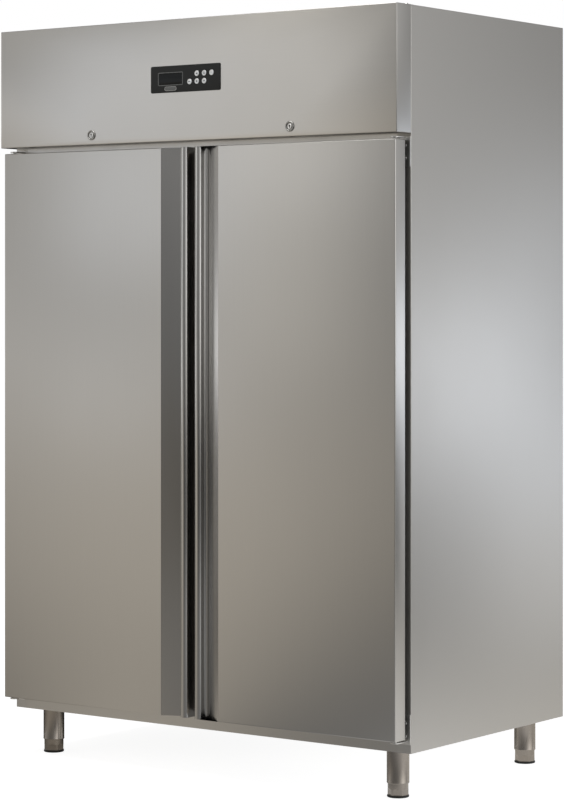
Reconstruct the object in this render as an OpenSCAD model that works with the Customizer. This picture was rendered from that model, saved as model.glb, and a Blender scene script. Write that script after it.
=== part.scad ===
/* [Cabinet] */
// Overall width of the cabinet
cabinet_w = 1350; // [1120:10:1640]
// Depth of the insulated body behind the doors
body_d = 768; // [640:4:930]
// Height of the cabinet's top edge above the floor
cabinet_h = 2050; // [1700:10:2470]
// Height of the underside of the base above the floor
base_z = 128; // [105:1:155]
// Thickness of the insulated side and back walls
wall_t = 60; // [50:1:72]
// Thickness of the insulated floor
floor_t = 62; // [52:1:75]
// Thickness of the insulated roof
roof_t = 60; // [50:1:72]
// Thickness of the outer sheet steel
sheet_t = 1.2; // [0.8:0.1:1.6]
// Thickness of the inner liner sheet
liner_t = 1; // [0.8:0.1:1.4]
// Width of the side panel's folded front edge
jamb_w = 43; // [34:1:48]
// Height of the base strip that shows below the doors
base_face_h = 36; // [30:1:44]
// Width of the post between the two compartments
mullion_w = 84; // [78:1:100]
// Depth of the post between the two compartments
mullion_d = 60; // [50:1:75]

/* [Header] */
// Height of the header panel above the doors
header_h = 330; // [290:2:400]
// How far the header stands in front of the doors
header_proud = 6; // [4:0.5:8]
// How far the bezel and locks stand in front of the header
front_trim = 3; // [2.8:0.1:4]
// Radius of the header hinge knuckle
knuckle_r = 3; // [2.6:0.1:3.4]
// How far the header hinges stand in from the cabinet sides
header_hinge_inset = 22; // [20:1:30]
// Distance of each lock from the centre line
lock_x = 339; // [280:1:400]
// Height of the locks above the header's lower edge
lock_z = 26; // [24:1:30]

/* [Doors] */
// Thickness of a door without its gasket
door_t = 45; // [40:1:54]
// Gap from a door's outer edge to the cabinet side
door_side_gap = 8.5; // [7:0.5:10]
// Gap between the two doors
door_gap = 24; // [20:1:28]
// Gap between the doors and the header
door_top_gap = 16; // [14:0.5:19]
// How far the ceiling lies below the top of the doors
ceiling_drop = 29; // [28:1:34]
// Space between a door and the face frame, filled by the gasket
gasket_t = 15; // [13:0.5:18]
// Width of the gasket
gasket_w = 18; // [15:1:19]
// Distance from the cabinet side to a door's hinge axis
hinge_inset = 25; // [22:1:27]
// Radius of a door hinge pin
pin_r = 5; // [4:0.5:6]

/* [Handles] */
// Diameter of the rounded bar along the edge of a door
bar_d = 24; // [20:1:29]
// Width of the folded handle profile
grip_w = 86; // [76:1:100]
// Slope of the handle's flat inner facet
slope_angle = 23.3; // [20:0.1:26]
// Radius of the finger channel beside the bar
channel_r = 8; // [7:0.5:9]
// Thickness of the handle profile's wall
grip_t = 2; // [1.5:0.5:2.5]

/* [Controller] */
// Width of the control bezel
bezel_w = 237.5; // [225:0.5:285]
// Height of the control bezel
bezel_h = 72.5; // [68:0.5:87]
// Centre of the bezel across the cabinet
bezel_x = -8.2; // [-40:0.1:40]
// Centre of the bezel above the header's lower edge
bezel_z = 168; // [130:1:190]
// Thickness of the bezel in front of the header
bezel_t = 2.2; // [1.8:0.1:2.5]
// Radius of a button
button_r = 7.5; // [6.3:0.1:8.5]
// How far a button can be pressed
button_travel = 0.8; // [0.5:0.1:1]

/* [Shelves] */
// Number of shelves in each compartment
shelf_count = 3; // [1:1:5]
// Diameter of the wire round a shelf's rim
shelf_rim_d = 8; // [6:0.5:9]
// Distance between the wires of a shelf
wire_pitch = 27; // [22:1:40]
// Width of a wire of a shelf
wire_d = 4; // [3:0.5:5]

/* [Cooling unit] */
// Height of the evaporator under the ceiling
evaporator_h = 150; // [140:1:180]
// Length of the evaporator across the cabinet
evaporator_w = 860; // [720:5:1030]
// Radius of the evaporator fan
evaporator_fan_r = 62; // [54:1:65]
// Radius of the condenser fan
condenser_fan_r = 112; // [95:1:116]
// Height of the condenser
condenser_h = 250; // [240:1:262]
// Radius of the compressor shell
compressor_r = 80; // [68:1:96]

/* [Legs] */
// Radius of a leg tube
leg_r = 30; // [25:0.5:36]
// Wall thickness of a leg tube
leg_wall = 2.6; // [2:0.1:3]
// Height of the lower end of a leg tube
leg_end_z = 36.6; // [32:0.1:44]
// Distance of the legs from the cabinet sides
leg_inset_x = 84; // [70:1:100]
// Distance of the legs from the body's front and back
leg_inset_y = 66; // [56:1:80]

/* [Hidden] */
$fn = 48;

// Gap between pieces that are fitted together
seam = 0.2;
// Radial clearance of a shaft or pin that turns in a bore
running = 0.05;
// Gap between bodies that move past each other
free_gap = 0.4;
// Extra length that carries a cut past a face
past = 1;

// Planes across the cabinet, from the centre line outwards
side_x = cabinet_w / 2;
panel_in_x = side_x - sheet_t - seam;
wall_in_x = side_x - wall_t;
frame_out_x = side_x - jamb_w - seam;
hinge_x = side_x - hinge_inset;
door_out_x = side_x - door_side_gap;
door_in_x = door_gap / 2;

// Planes from front to back
header_d = header_proud + door_t + gasket_t;
header_y = front_trim - (header_d + body_d + front_trim) / 2;
door_y = header_y + header_proud;
body_y = header_y + header_d;
back_y = body_y + body_d;
inner_back_y = back_y - wall_t;
hinge_y = door_y + door_t * 0.54;
sheet_y = body_y + sheet_t + seam;

// Levels
floor_z = base_z + floor_t;
door_z = base_z + base_face_h;
header_z = cabinet_h - header_h;
door_top_z = header_z - door_top_gap;
door_h = door_top_z - door_z;
ceiling_z = door_top_z - ceiling_drop;
roof_z = ceiling_z + roof_t;

// A box between two corners
module block(low, high) {
    translate(low) cube(high - low);
}

// The piece and its mirror image on the other side of the centre line
module both_sides() {
    children();
    mirror([1, 0, 0]) children();
}

// A cylinder along +Y that starts at the given point
module rod_y(start, r, length) {
    translate(start) rotate([-90, 0, 0]) cylinder(r = r, h = length);
}

// A rectangle with rounded corners, centred
module round_rect(w, h, r) {
    square([w - 2 * r, h], center = true);
    square([w, h - 2 * r], center = true);
    for (x = [-1, 1], y = [-1, 1]) {
        translate([x * (w / 2 - r), y * (h / 2 - r)]) circle(r = r);
    }
}

// ---- Cabinet shell ----

top_flange_w = 36;
bracket_screw_r = 2.5;
bracket_plate_h = 77;
bracket_t = 3;
bracket_screw_x = hinge_x + 9;
bracket_arm_gap = 4;
bracket_low_z = door_z - bracket_arm_gap - bracket_t - 6;
bracket_high_z = door_top_z + bracket_arm_gap + bracket_t;
bracket_screw_steps = [22, 55];
bracket_screw_zs = concat(
    [for (s = bracket_screw_steps) bracket_low_z + s],
    [for (s = bracket_screw_steps) bracket_high_z - s]
);

module side_panel() {
    color("silver")
    difference() {
        union() {
            block([side_x - sheet_t, body_y, base_z], [side_x, back_y, cabinet_h]);
            block([side_x - jamb_w, body_y, base_z], [side_x, body_y + sheet_t, roof_z]);
            block([side_x - top_flange_w, body_y, roof_z - past], [side_x, body_y + sheet_t, cabinet_h]);
            block([side_x - top_flange_w, body_y, cabinet_h - sheet_t], [side_x, back_y, cabinet_h]);
        }
        for (z = bracket_screw_zs) {
            rod_y([bracket_screw_x, body_y - past, z], bracket_screw_r + running, sheet_t + 2 * past);
        }
        for (x = leaf_screw_xs) {
            translate([x, leaf_screw_y, cabinet_h - sheet_t - past])
                cylinder(r = leaf_screw_r + running, h = sheet_t + 2 * past);
        }
    }
}

module side_panel_right() {
    side_panel();
}

module side_panel_left() {
    mirror([1, 0, 0]) side_panel();
}

module back_panel() {
    color("lightgray")
    block([-panel_in_x, back_y - sheet_t, base_z], [panel_in_x, back_y, roof_z]);
}

module base_panel() {
    color("lightgray")
    block([-panel_in_x, sheet_y, base_z], [panel_in_x, back_y - sheet_t - seam, base_z + sheet_t]);
}

module roof_panel() {
    color("lightgray")
    block([-panel_in_x, sheet_y, roof_z - sheet_t], [panel_in_x, back_y - sheet_t - seam, roof_z]);
}

// Five foamed slabs round the compartments
module insulation() {
    foam_y = [sheet_y, back_y - sheet_t - seam];
    color("khaki") {
        block(
            [-panel_in_x, foam_y[0], base_z + sheet_t + seam],
            [panel_in_x, foam_y[1], floor_z - seam]
        );
        block(
            [-panel_in_x, foam_y[0], ceiling_z + seam],
            [panel_in_x, foam_y[1], roof_z - sheet_t - seam]
        );
        both_sides()
            block(
                [wall_in_x + seam, foam_y[0], floor_z + seam],
                [panel_in_x, foam_y[1], ceiling_z - seam]
            );
        block(
            [-wall_in_x + seam, inner_back_y + seam, floor_z + seam],
            [wall_in_x - seam, foam_y[1], ceiling_z - seam]
        );
    }
}

module liner() {
    color("gainsboro")
    difference() {
        block([-wall_in_x, sheet_y, floor_z], [wall_in_x, inner_back_y, ceiling_z]);
        block(
            [-wall_in_x + liner_t, sheet_y - past, floor_z + liner_t],
            [wall_in_x - liner_t, inner_back_y - liner_t, ceiling_z - liner_t]
        );
    }
}

module face_frame() {
    color("silver")
    difference() {
        block([-frame_out_x, body_y, base_z], [frame_out_x, body_y + sheet_t, roof_z]);
        block([-wall_in_x, body_y - past, floor_z], [wall_in_x, body_y + sheet_t + past, ceiling_z]);
    }
}

module centre_mullion() {
    low = floor_z + liner_t + seam;
    high = ceiling_z - liner_t - seam;
    half = mullion_w / 2;
    color("silver")
    difference() {
        block([-half, body_y, low], [half, body_y + mullion_d, high]);
        block(
            [-half + sheet_t, body_y + sheet_t, low - past],
            [half - sheet_t, body_y + mullion_d - sheet_t, high + past]
        );
    }
}

module rear_grille() {
    low = roof_z + seam;
    slot_h = 120;
    slot_w = 6;
    slot_step = 24;
    slot_half_count = 12;
    color("lightgray")
    difference() {
        block([-panel_in_x, back_y - sheet_t, low], [panel_in_x, back_y, cabinet_h - sheet_t - seam]);
        for (i = [-slot_half_count : slot_half_count]) {
            translate([i * slot_step - slot_w / 2, back_y - sheet_t - past, roof_z + 110])
                cube([slot_w, sheet_t + 2 * past, slot_h]);
        }
        rod_y([gland_x, back_y - sheet_t - past, gland_z], gland_r + seam, sheet_t + 2 * past);
    }
}

gland_x = side_x - 110;
gland_z = roof_z + 50;
gland_r = 9;
gland_bore_r = 4.5;
gland_length = 26;

module cable_gland() {
    nut_r = 13;
    nut_t = 5;
    front_y = back_y - sheet_t;
    color("dimgray")
    difference() {
        union() {
            rod_y([gland_x, back_y - gland_length, gland_z], gland_r, gland_length);
            rod_y([gland_x, front_y - nut_t, gland_z], nut_r, nut_t);
        }
        rod_y([gland_x, back_y - gland_length - past, gland_z], gland_bore_r, gland_length + 2 * past);
    }
}

// ---- Legs and feet ----

leg_x = side_x - leg_inset_x;
leg_ys = [body_y + leg_inset_y, back_y - leg_inset_y];
foot_r = leg_r - leg_wall - running;
leg_plate_w = 100;
leg_plate_t = 3;

module legs() {
    color("silver")
    for (x = [-leg_x, leg_x], y = leg_ys) {
        translate([x, y, 0]) {
            difference() {
                union() {
                    translate([0, 0, leg_end_z]) cylinder(r = leg_r, h = base_z - leg_end_z);
                    translate([0, 0, base_z - leg_plate_t / 2])
                        cube([leg_plate_w, leg_plate_w, leg_plate_t], center = true);
                }
                translate([0, 0, leg_end_z - past])
                    cylinder(r = leg_r - leg_wall, h = base_z - leg_end_z - leg_plate_t + past);
            }
        }
    }
}

module foot(x, y) {
    pad_r = leg_r - 1;
    pad_z = 6;
    top_z = 74;
    ledge_z = 9;
    flats_z = 24;
    flat_x = foot_r - 2.4;
    color("dimgray")
    translate([x, y, 0])
        difference() {
            rotate_extrude()
                polygon([
                    [0, 0], [pad_r - 1.5, 0], [pad_r, 1.5], [pad_r, pad_z],
                    [foot_r, pad_z + 1], [foot_r, top_z], [0, top_z]
                ]);
            for (a = [0 : 60 : 300]) {
                rotate([0, 0, a]) block([flat_x, -foot_r, ledge_z], [leg_r, foot_r, flats_z]);
            }
        }
}

// ---- Hinges ----

leaf_screw_r = 1.5;
leaf_screw_y = body_y + 15;
header_hinge_x = side_x - header_hinge_inset;
leaf_screw_xs = [header_hinge_x - 8, header_hinge_x + 8];
header_axis_y = body_y - 4;
header_axis_z = cabinet_h + 1;
leaf_t = 1.5;
header_pin_r = 1.5;
header_knuckle_w = 12;
leaf_knuckle_w = 8;
leaf_half_w = header_knuckle_w / 2 + free_gap + leaf_knuckle_w;

// A cylinder along +X, centred on the header's hinge axis
module header_axis_rod(r, x0, x1) {
    translate([x0, header_axis_y, header_axis_z]) rotate([0, 90, 0]) cylinder(r = r, h = x1 - x0);
}

module header_hinge_leaf() {
    x = header_hinge_x;
    inner = header_knuckle_w / 2 + free_gap;
    difference() {
        union() {
            header_axis_rod(knuckle_r, x - leaf_half_w, x - inner);
            header_axis_rod(knuckle_r, x + inner, x + leaf_half_w);
            header_axis_rod(header_pin_r, x - leaf_half_w, x + leaf_half_w);
            for (start = [x - leaf_half_w, x + inner]) {
                block(
                    [start, header_axis_y, cabinet_h],
                    [start + leaf_knuckle_w, body_y + 4, cabinet_h + leaf_t]
                );
            }
            block(
                [x - leaf_half_w, body_y + 3, cabinet_h],
                [x + leaf_half_w, body_y + 24, cabinet_h + leaf_t]
            );
        }
        for (sx = leaf_screw_xs) {
            translate([sx, leaf_screw_y, cabinet_h - past])
                cylinder(r = leaf_screw_r + running, h = leaf_t + 2 * past);
        }
    }
}

// A door hinge bracket: a plate on the jamb, an arm and a pin
module door_bracket(plate_low, plate_high, arm_z, pin_low, pin_high) {
    arm_r = 12;
    difference() {
        union() {
            block(
                [hinge_x - 8, body_y - bracket_t, plate_low],
                [side_x - 1, body_y, plate_high]
            );
            translate([hinge_x, hinge_y, arm_z]) cylinder(r = arm_r, h = bracket_t);
            block(
                [hinge_x - arm_r + 4, hinge_y, arm_z],
                [hinge_x + arm_r, body_y - past, arm_z + bracket_t]
            );
        }
        for (z = bracket_screw_zs) {
            rod_y([bracket_screw_x, body_y - bracket_t - past, z], bracket_screw_r + running, bracket_t + 2 * past);
        }
    }
    translate([hinge_x, hinge_y, pin_low]) cylinder(r = pin_r, h = pin_high - pin_low);
}

pin_depth = 19;

module hinge_brackets() {
    color("gray")
    both_sides() {
        door_bracket(
            bracket_high_z - bracket_plate_h, bracket_high_z, bracket_high_z - bracket_t,
            door_top_z - pin_depth, bracket_high_z
        );
        door_bracket(
            bracket_low_z, bracket_low_z + bracket_plate_h, door_z - bracket_arm_gap - bracket_t,
            door_z - bracket_arm_gap - bracket_t, door_z + pin_depth
        );
        header_hinge_leaf();
    }
}

module screws() {
    head_h = 2.2;
    head_r = 4.6;
    leaf_head_h = 1.4;
    leaf_head_r = 2.8;
    color("gray")
    both_sides() {
        for (z = bracket_screw_zs) {
            rod_y([bracket_screw_x, body_y - bracket_t - head_h, z], head_r, head_h);
            rod_y([bracket_screw_x, body_y - bracket_t - head_h, z], bracket_screw_r, head_h + bracket_t + sheet_t);
        }
        for (x = leaf_screw_xs) {
            translate([x, leaf_screw_y, cabinet_h - sheet_t])
                cylinder(r = leaf_screw_r, h = sheet_t + leaf_t + leaf_head_h);
            translate([x, leaf_screw_y, cabinet_h + leaf_t]) cylinder(r = leaf_head_r, h = leaf_head_h);
        }
    }
}

// ---- Doors: the right door, mirrored for the left ----

bar_r = bar_d / 2;
grip_end_x = door_in_x + grip_w;
bar_c = [door_in_x + bar_r, bar_r];

// Length of the slope from the door's face down to the finger channel
channel_q = [grip_end_x - channel_r * sin(slope_angle) - bar_c[0], -channel_r * cos(slope_angle) - bar_c[1]];
channel_qu = -channel_q[0] * cos(slope_angle) + channel_q[1] * sin(slope_angle);
slope_length = -channel_qu - sqrt(
    channel_qu * channel_qu - channel_q * channel_q + (channel_r + bar_r) * (channel_r + bar_r)
);
channel_c = bar_c + channel_q + slope_length * [-cos(slope_angle), sin(slope_angle)];
meet_angle = atan2(channel_c[1] - bar_c[1], channel_c[0] - bar_c[0]);

function arc(centre, r, from, to, steps) = [
    for (i = [0 : steps])
        let (a = from + (to - from) * i / steps)
        centre + r * [cos(a), sin(a)]
];

// Cross-section of a door from above, its surface moved in by e, from the edge to end_x
module door_section(e, end_x, depth) {
    polygon(concat(
        [[door_in_x + e, depth]],
        arc(bar_c, bar_r - e, 180, 360 + meet_angle, 28),
        arc(channel_c, channel_r + e, 180 + meet_angle, 90 - slope_angle, 16),
        [[grip_end_x + e * tan(slope_angle / 2), e], [end_x, e], [end_x, depth]]
    ));
}

door_skin_t = 1;
liner_front = door_t - liner_t;
bush_r = 8;
bush_length = 20;
bush_flange_t = 1.5;
lock_slot_low = 10;
lock_slot_high = 46;
lock_slot_depth = 13;
lock_slot_back = 9;

// Puts a shape drawn across and into the door at a level above the floor
module door_slab(low, high) {
    translate([0, door_y, low]) linear_extrude(high - low) children();
}

// The hollows that a door's pieces leave for the bushes and for the lock cam
module door_hollows(margin) {
    for (z = [door_z - past, door_top_z - bush_length - past]) {
        translate([hinge_x, hinge_y, z]) cylinder(r = bush_r + margin, h = bush_length + 2 * past);
    }
    cam_mid_y = header_y + cam_y + cam_t / 2;
    block(
        [lock_x - lock_slot_low - margin, cam_mid_y - lock_slot_back / 2 - margin, door_top_z - lock_slot_depth],
        [lock_x + lock_slot_high + margin, cam_mid_y + lock_slot_back / 2 + margin, door_top_z + past]
    );
}

module door_skin() {
    back = liner_front - seam;
    color("silver")
    difference() {
        door_slab(door_z, door_top_z)
            translate([grip_end_x + seam, 0])
                square([door_out_x - grip_end_x - seam, back]);
        door_slab(door_z + door_skin_t, door_top_z - door_skin_t)
            translate([grip_end_x - past, door_skin_t])
                square([door_out_x - door_skin_t - grip_end_x + past, back]);
        door_hollows(seam);
    }
}

module door_handle() {
    back = liner_front - seam;
    cap_t = 2;
    color("darkgray")
    difference() {
        door_slab(door_z, door_top_z) door_section(0, grip_end_x, back);
        door_slab(door_z + cap_t, door_top_z - cap_t) door_section(grip_t, grip_end_x + past, back + past);
    }
}

pan_margin = 6;
pan_proud = 8;
gasket_in_x = door_in_x + 3;
gasket_out_x = hinge_x - 10;
gasket_low_z = door_z + 5;
gasket_high_z = door_top_z - 8;

// The raised middle of a door's inside, its faces moved in by e
module door_pan(e) {
    inset = gasket_w + pan_margin + e;
    block(
        [gasket_in_x + inset, door_y + liner_front - past, gasket_low_z + inset],
        [gasket_out_x - inset, door_y + door_t + pan_proud - e, gasket_high_z - inset]
    );
}

module door_foam() {
    e = grip_t + seam;
    color("khaki")
    difference() {
        union() {
            door_slab(door_z + e, door_top_z - e) door_section(e, door_out_x - e, liner_front - seam);
            door_pan(liner_t + seam);
        }
        door_hollows(seam);
    }
}

module door_liner() {
    color("gainsboro")
    difference() {
        union() {
            block(
                [door_in_x, door_y + liner_front, door_z],
                [door_out_x, door_y + door_t, door_top_z]
            );
            intersection() {
                door_pan(0);
                block(
                    [door_in_x, door_y + liner_front, door_z],
                    [door_out_x, body_y, door_top_z]
                );
            }
        }
        door_pan(liner_t);
    }
}

module door_gasket() {
    color("black")
    difference() {
        block(
            [gasket_in_x, door_y + door_t, gasket_low_z],
            [gasket_out_x, body_y - free_gap, gasket_high_z]
        );
        block(
            [gasket_in_x + gasket_w, door_y + door_t - past, gasket_low_z + gasket_w],
            [gasket_out_x - gasket_w, body_y, gasket_high_z - gasket_w]
        );
    }
}

module door_bushes() {
    flange_r = 11;
    color("white")
    translate([hinge_x, hinge_y, 0])
        difference() {
            union() {
                translate([0, 0, door_z]) cylinder(r = bush_r, h = bush_length);
                translate([0, 0, door_z - bush_flange_t]) cylinder(r = flange_r, h = bush_flange_t);
                translate([0, 0, door_top_z - bush_length]) cylinder(r = bush_r, h = bush_length);
                translate([0, 0, door_top_z]) cylinder(r = flange_r, h = bush_flange_t);
            }
            translate([0, 0, door_z - bush_flange_t - past])
                cylinder(r = pin_r + running, h = bush_length + bush_flange_t + 2 * past);
            translate([0, 0, door_top_z - bush_length - past])
                cylinder(r = pin_r + running, h = bush_length + bush_flange_t + 2 * past);
        }
}

// ---- Header, locks and controller ----

lock_level = header_z + lock_z;
lock_bore_r = 7;
lock_body_r = 9.5;
cam_y = 23;
cam_t = 3;
cam_w = 14;
cam_dip = 8;
cam_reach = lock_z + door_top_gap + cam_dip;
cam_room = 6;
header_bottom_slot = 12;
bezel_level = header_z + bezel_z;
bezel_step = 4;
bezel_back = 1.5;

module header_panel() {
    back = body_y - free_gap;
    top_back = header_axis_y - knuckle_r - free_gap;
    cam_mid_y = header_y + cam_y + cam_t / 2;
    color("silver")
    difference() {
        union() {
            difference() {
                block([-side_x, header_y, header_z], [side_x, back, cabinet_h]);
                block(
                    [-side_x + sheet_t, header_y + sheet_t, header_z + sheet_t],
                    [side_x - sheet_t, back + past, cabinet_h - sheet_t]
                );
                block(
                    [-side_x + sheet_t, top_back, cabinet_h - sheet_t - past],
                    [side_x - sheet_t, back + past, cabinet_h + past]
                );
            }
            both_sides() {
                x0 = header_hinge_x - header_knuckle_w / 2;
                header_axis_rod(knuckle_r, x0, x0 + header_knuckle_w);
                block(
                    [x0, top_back - past, cabinet_h - sheet_t],
                    [x0 + header_knuckle_w, header_axis_y, cabinet_h]
                );
            }
        }
        both_sides()
            header_axis_rod(header_pin_r + running, header_hinge_x - leaf_half_w, header_hinge_x + leaf_half_w);
        both_sides() {
            rod_y([lock_x, header_y - past, lock_level], lock_body_r + seam, sheet_t + 2 * past);
            block(
                [lock_x - lock_slot_low, cam_mid_y - header_bottom_slot / 2, header_z - past],
                [lock_x + cam_reach + cam_room, cam_mid_y + header_bottom_slot / 2, header_z + sheet_t + past]
            );
        }
        translate([bezel_x, header_y + sheet_t + past, bezel_level])
            rotate([90, 0, 0])
                linear_extrude(sheet_t + 2 * past)
                    round_rect(bezel_w - 2 * bezel_step + 2 * seam, bezel_h - 2 * bezel_step + 2 * seam, 3);
    }
}

module lock_bodies() {
    rose_r = 14;
    color("gray")
    both_sides() {
        difference() {
            union() {
                rod_y([lock_x, header_y - front_trim, lock_level], rose_r, front_trim);
                rod_y([lock_x, header_y - front_trim, lock_level], lock_body_r, cam_y - free_gap + front_trim);
            }
            rod_y([lock_x, header_y - front_trim - past, lock_level], lock_bore_r, cam_y + front_trim + 2 * past);
        }
    }
}

module lock_barrel() {
    face = header_y - front_trim + 0.8;
    key_w = 2;
    key_h = 9;
    key_d = 6;
    color("silver")
    difference() {
        union() {
            rod_y([lock_x, face, lock_level], lock_bore_r - running, header_y + cam_y + cam_t - face);
            rod_y([lock_x, header_y + cam_y, lock_level], cam_w / 2, cam_t);
            block(
                [lock_x, header_y + cam_y, lock_level - cam_w / 2],
                [lock_x + cam_reach, header_y + cam_y + cam_t, lock_level + cam_w / 2]
            );
        }
        block(
            [lock_x - key_w / 2, face - past, lock_level - key_h / 2],
            [lock_x + key_w / 2, face + key_d, lock_level + key_h / 2]
        );
    }
}

// Button places, as shares of the bezel's width and height from its centre
button_places = [
    [0.167, 0.16], [0.273, 0.16], [0.378, 0.16],
    [0.064, -0.13], [0.168, -0.13], [0.273, -0.13]
];
lens_w = 81;
lens_h = 32;
lens_place = [-0.212, 0.01];

module control_bezel() {
    color("black")
    translate([bezel_x, header_y, bezel_level])
        rotate([90, 0, 0])
            difference() {
                union() {
                    linear_extrude(bezel_t) round_rect(bezel_w, bezel_h, 7);
                    translate([0, 0, -bezel_back])
                        linear_extrude(bezel_back + past)
                            round_rect(bezel_w - 2 * bezel_step, bezel_h - 2 * bezel_step, 3);
                }
                for (p = button_places) {
                    translate([p[0] * bezel_w, p[1] * bezel_h, -bezel_back - past])
                        cylinder(r = button_r + 2 * running, h = bezel_t + bezel_back + 2 * past);
                }
                translate([lens_place[0] * bezel_w, lens_place[1] * bezel_h, 0])
                    cube([lens_w + 2 * seam, lens_h + 2 * seam, 3 * bezel_t], center = true);
            }
}

module display_lens() {
    lens_t = bezel_t + bezel_back - 0.4;
    color("darkslategray")
    translate([
        bezel_x + lens_place[0] * bezel_w,
        header_y - bezel_t + 0.4 + lens_t / 2,
        bezel_level + lens_place[1] * bezel_h
    ])
        cube([lens_w, lens_t, lens_h], center = true);
}

module control_board() {
    board_y = header_y + 9;
    board_d = 24;
    w = bezel_w - 40;
    h = bezel_h - 22;
    color("darkgreen")
    block(
        [bezel_x - w / 2, board_y, bezel_level - h / 2],
        [bezel_x + w / 2, board_y + board_d, bezel_level + h / 2]
    );
}

module button(i) {
    stem_r = 3;
    flange_y = bezel_back + free_gap;
    flange_t = 1.2;
    p = button_places[i];
    x = bezel_x + p[0] * bezel_w;
    z = bezel_level + p[1] * bezel_h;
    color("silver") {
        rod_y([x, header_y - front_trim, z], button_r, front_trim + flange_y);
        rod_y([x, header_y + flange_y, z], button_r + 1, flange_t);
        rod_y([x, header_y + flange_y, z], stem_r, flange_t + 3);
    }
}

// ---- Shelving ----

post_t = 12;
post_w = 22;
post_in_x = 28;
post_out_x = wall_in_x - liner_t - seam - post_t;
post_gap_y = 30;
post_ys = [body_y + mullion_d + post_gap_y, inner_back_y - liner_t - post_gap_y - post_w];
post_low_z = floor_z + liner_t + seam;
post_high_z = ceiling_z - evaporator_h - 20;
runner_t = 1.5;
runner_w = 18;
runner_h = 20;
shelf_step = (post_high_z - post_low_z) / (shelf_count + 1);
shelf_x = [post_in_x + post_t + seam + runner_t + free_gap, post_out_x - seam - runner_t - free_gap];
shelf_y = [post_ys[0], post_ys[1] + post_w];

module shelf_posts() {
    slot_w = 8;
    slot_h = 14;
    slot_step = 110;
    color("gainsboro")
    both_sides()
        for (x = [post_in_x, post_out_x], y = post_ys) {
            difference() {
                block([x, y, post_low_z], [x + post_t, y + post_w, post_high_z]);
                for (z = [post_low_z + slot_step : slot_step : post_high_z - slot_step]) {
                    block(
                        [x - past, y + (post_w - slot_w) / 2, z],
                        [x + post_t + past, y + (post_w + slot_w) / 2, z + slot_h]
                    );
                }
            }
        }
}

// An angle on the face of two posts; side is 1 on the inner posts and -1 on the outer
module shelf_runner(face_x, side, z) {
    wide = [face_x, face_x + side * runner_w];
    thin = [face_x, face_x + side * runner_t];
    block([min(wide), shelf_y[0], z - runner_t], [max(wide), shelf_y[1], z]);
    block([min(thin), shelf_y[0], z - runner_t], [max(thin), shelf_y[1], z + runner_h]);
}

module shelf_runners() {
    color("gainsboro")
    both_sides()
        for (i = [1 : shelf_count]) {
            shelf_runner(post_in_x + post_t + seam, 1, post_low_z + i * shelf_step);
            shelf_runner(post_out_x - seam, -1, post_low_z + i * shelf_step);
        }
}

module shelf() {
    w = shelf_x[1] - shelf_x[0];
    d = shelf_y[1] - shelf_y[0];
    linear_extrude(shelf_rim_d)
        difference() {
            square([w, d]);
            translate([shelf_rim_d, shelf_rim_d]) square([w - 2 * shelf_rim_d, d - 2 * shelf_rim_d]);
        }
    for (x = [wire_pitch : wire_pitch : w - shelf_rim_d]) {
        translate([x - wire_d / 2, shelf_rim_d / 2, shelf_rim_d - wire_d])
            cube([wire_d, d - shelf_rim_d, wire_d]);
    }
    for (y = [d / 3, 2 * d / 3]) {
        translate([shelf_rim_d / 2, y - wire_d / 2, shelf_rim_d - 2 * wire_d + 0.5])
            cube([w - shelf_rim_d, wire_d, wire_d]);
    }
}

module shelves() {
    color("white")
    both_sides()
        for (i = [1 : shelf_count]) {
            translate([shelf_x[0], shelf_y[0], post_low_z + i * shelf_step + seam]) shelf();
        }
}

// ---- Evaporator under the ceiling ----

evaporator_y = body_y + 170;
evaporator_d = 330;
evaporator_top = ceiling_z - liner_t - seam;
evaporator_low = evaporator_top - evaporator_h;
fan_axis_z = evaporator_low + evaporator_h / 2;
fan_shaft_r = 3;

// A block of thin fins on a solid core
module finned_block(low, high, pitch, cut) {
    depth = (high[1] - low[1]) / 3;
    difference() {
        block(low, high);
        for (x = [low[0] + pitch : pitch : high[0] - pitch]) {
            block([x, low[1] - past, low[2] - past], [x + cut, low[1] + depth, high[2] + past]);
        }
    }
}

module evaporator_coil() {
    color("lightsteelblue")
    finned_block(
        [-evaporator_w / 2 + 20, evaporator_y + 170, evaporator_low + 20],
        [evaporator_w / 2 - 20, evaporator_y + 300, evaporator_top - 12],
        24, 14
    );
}

module evaporator_cover() {
    wall = sheet_t;
    half = evaporator_w / 2;
    color("gainsboro")
    difference() {
        block([-half, evaporator_y, evaporator_low], [half, evaporator_y + evaporator_d, evaporator_top]);
        block(
            [-half + wall, evaporator_y + wall, evaporator_low + wall],
            [half - wall, evaporator_y + evaporator_d - wall, evaporator_top + past]
        );
        rod_y([0, evaporator_y - past, fan_axis_z], evaporator_fan_r + 4, wall + 2 * past);
        for (x = [-half + 60 : 40 : half - 60]) {
            block(
                [x, evaporator_y + evaporator_d - 60, evaporator_low - past],
                [x + 24, evaporator_y + evaporator_d - 30, evaporator_low + wall + past]
            );
        }
    }
}

// A fan on an axis along Y: a hub with a blind bore and pitched blades
module fan(r, hub_r, thick, blades) {
    pitch = 28;
    blade_t = 1.6;
    difference() {
        union() {
            rotate([90, 0, 0]) cylinder(r = hub_r, h = thick, center = true);
            for (i = [0 : blades - 1]) {
                rotate([0, i * 360 / blades, 0])
                    translate([(r + hub_r) / 2 - 2, 0, 0])
                        rotate([pitch, 0, 0])
                            cube([r - hub_r, thick * 0.8, blade_t], center = true);
            }
        }
        rod_y([0, -thick / 2 + 4, 0], fan_shaft_r + running, thick);
    }
}

// A fan motor behind its fan: body, shaft and a post that stands drop below the axis
module fan_motor(body_r, body_l, shaft_l, drop) {
    post_half = 14;
    post_d = 6;
    rod_y([0, 0, 0], body_r, body_l);
    rod_y([0, -shaft_l, 0], fan_shaft_r, shaft_l + 1);
    block([-post_half, body_l - post_d, -drop], [post_half, body_l, 0]);
}

evaporator_fan_t = 22;
evaporator_fan_y = evaporator_y + 24;

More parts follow.
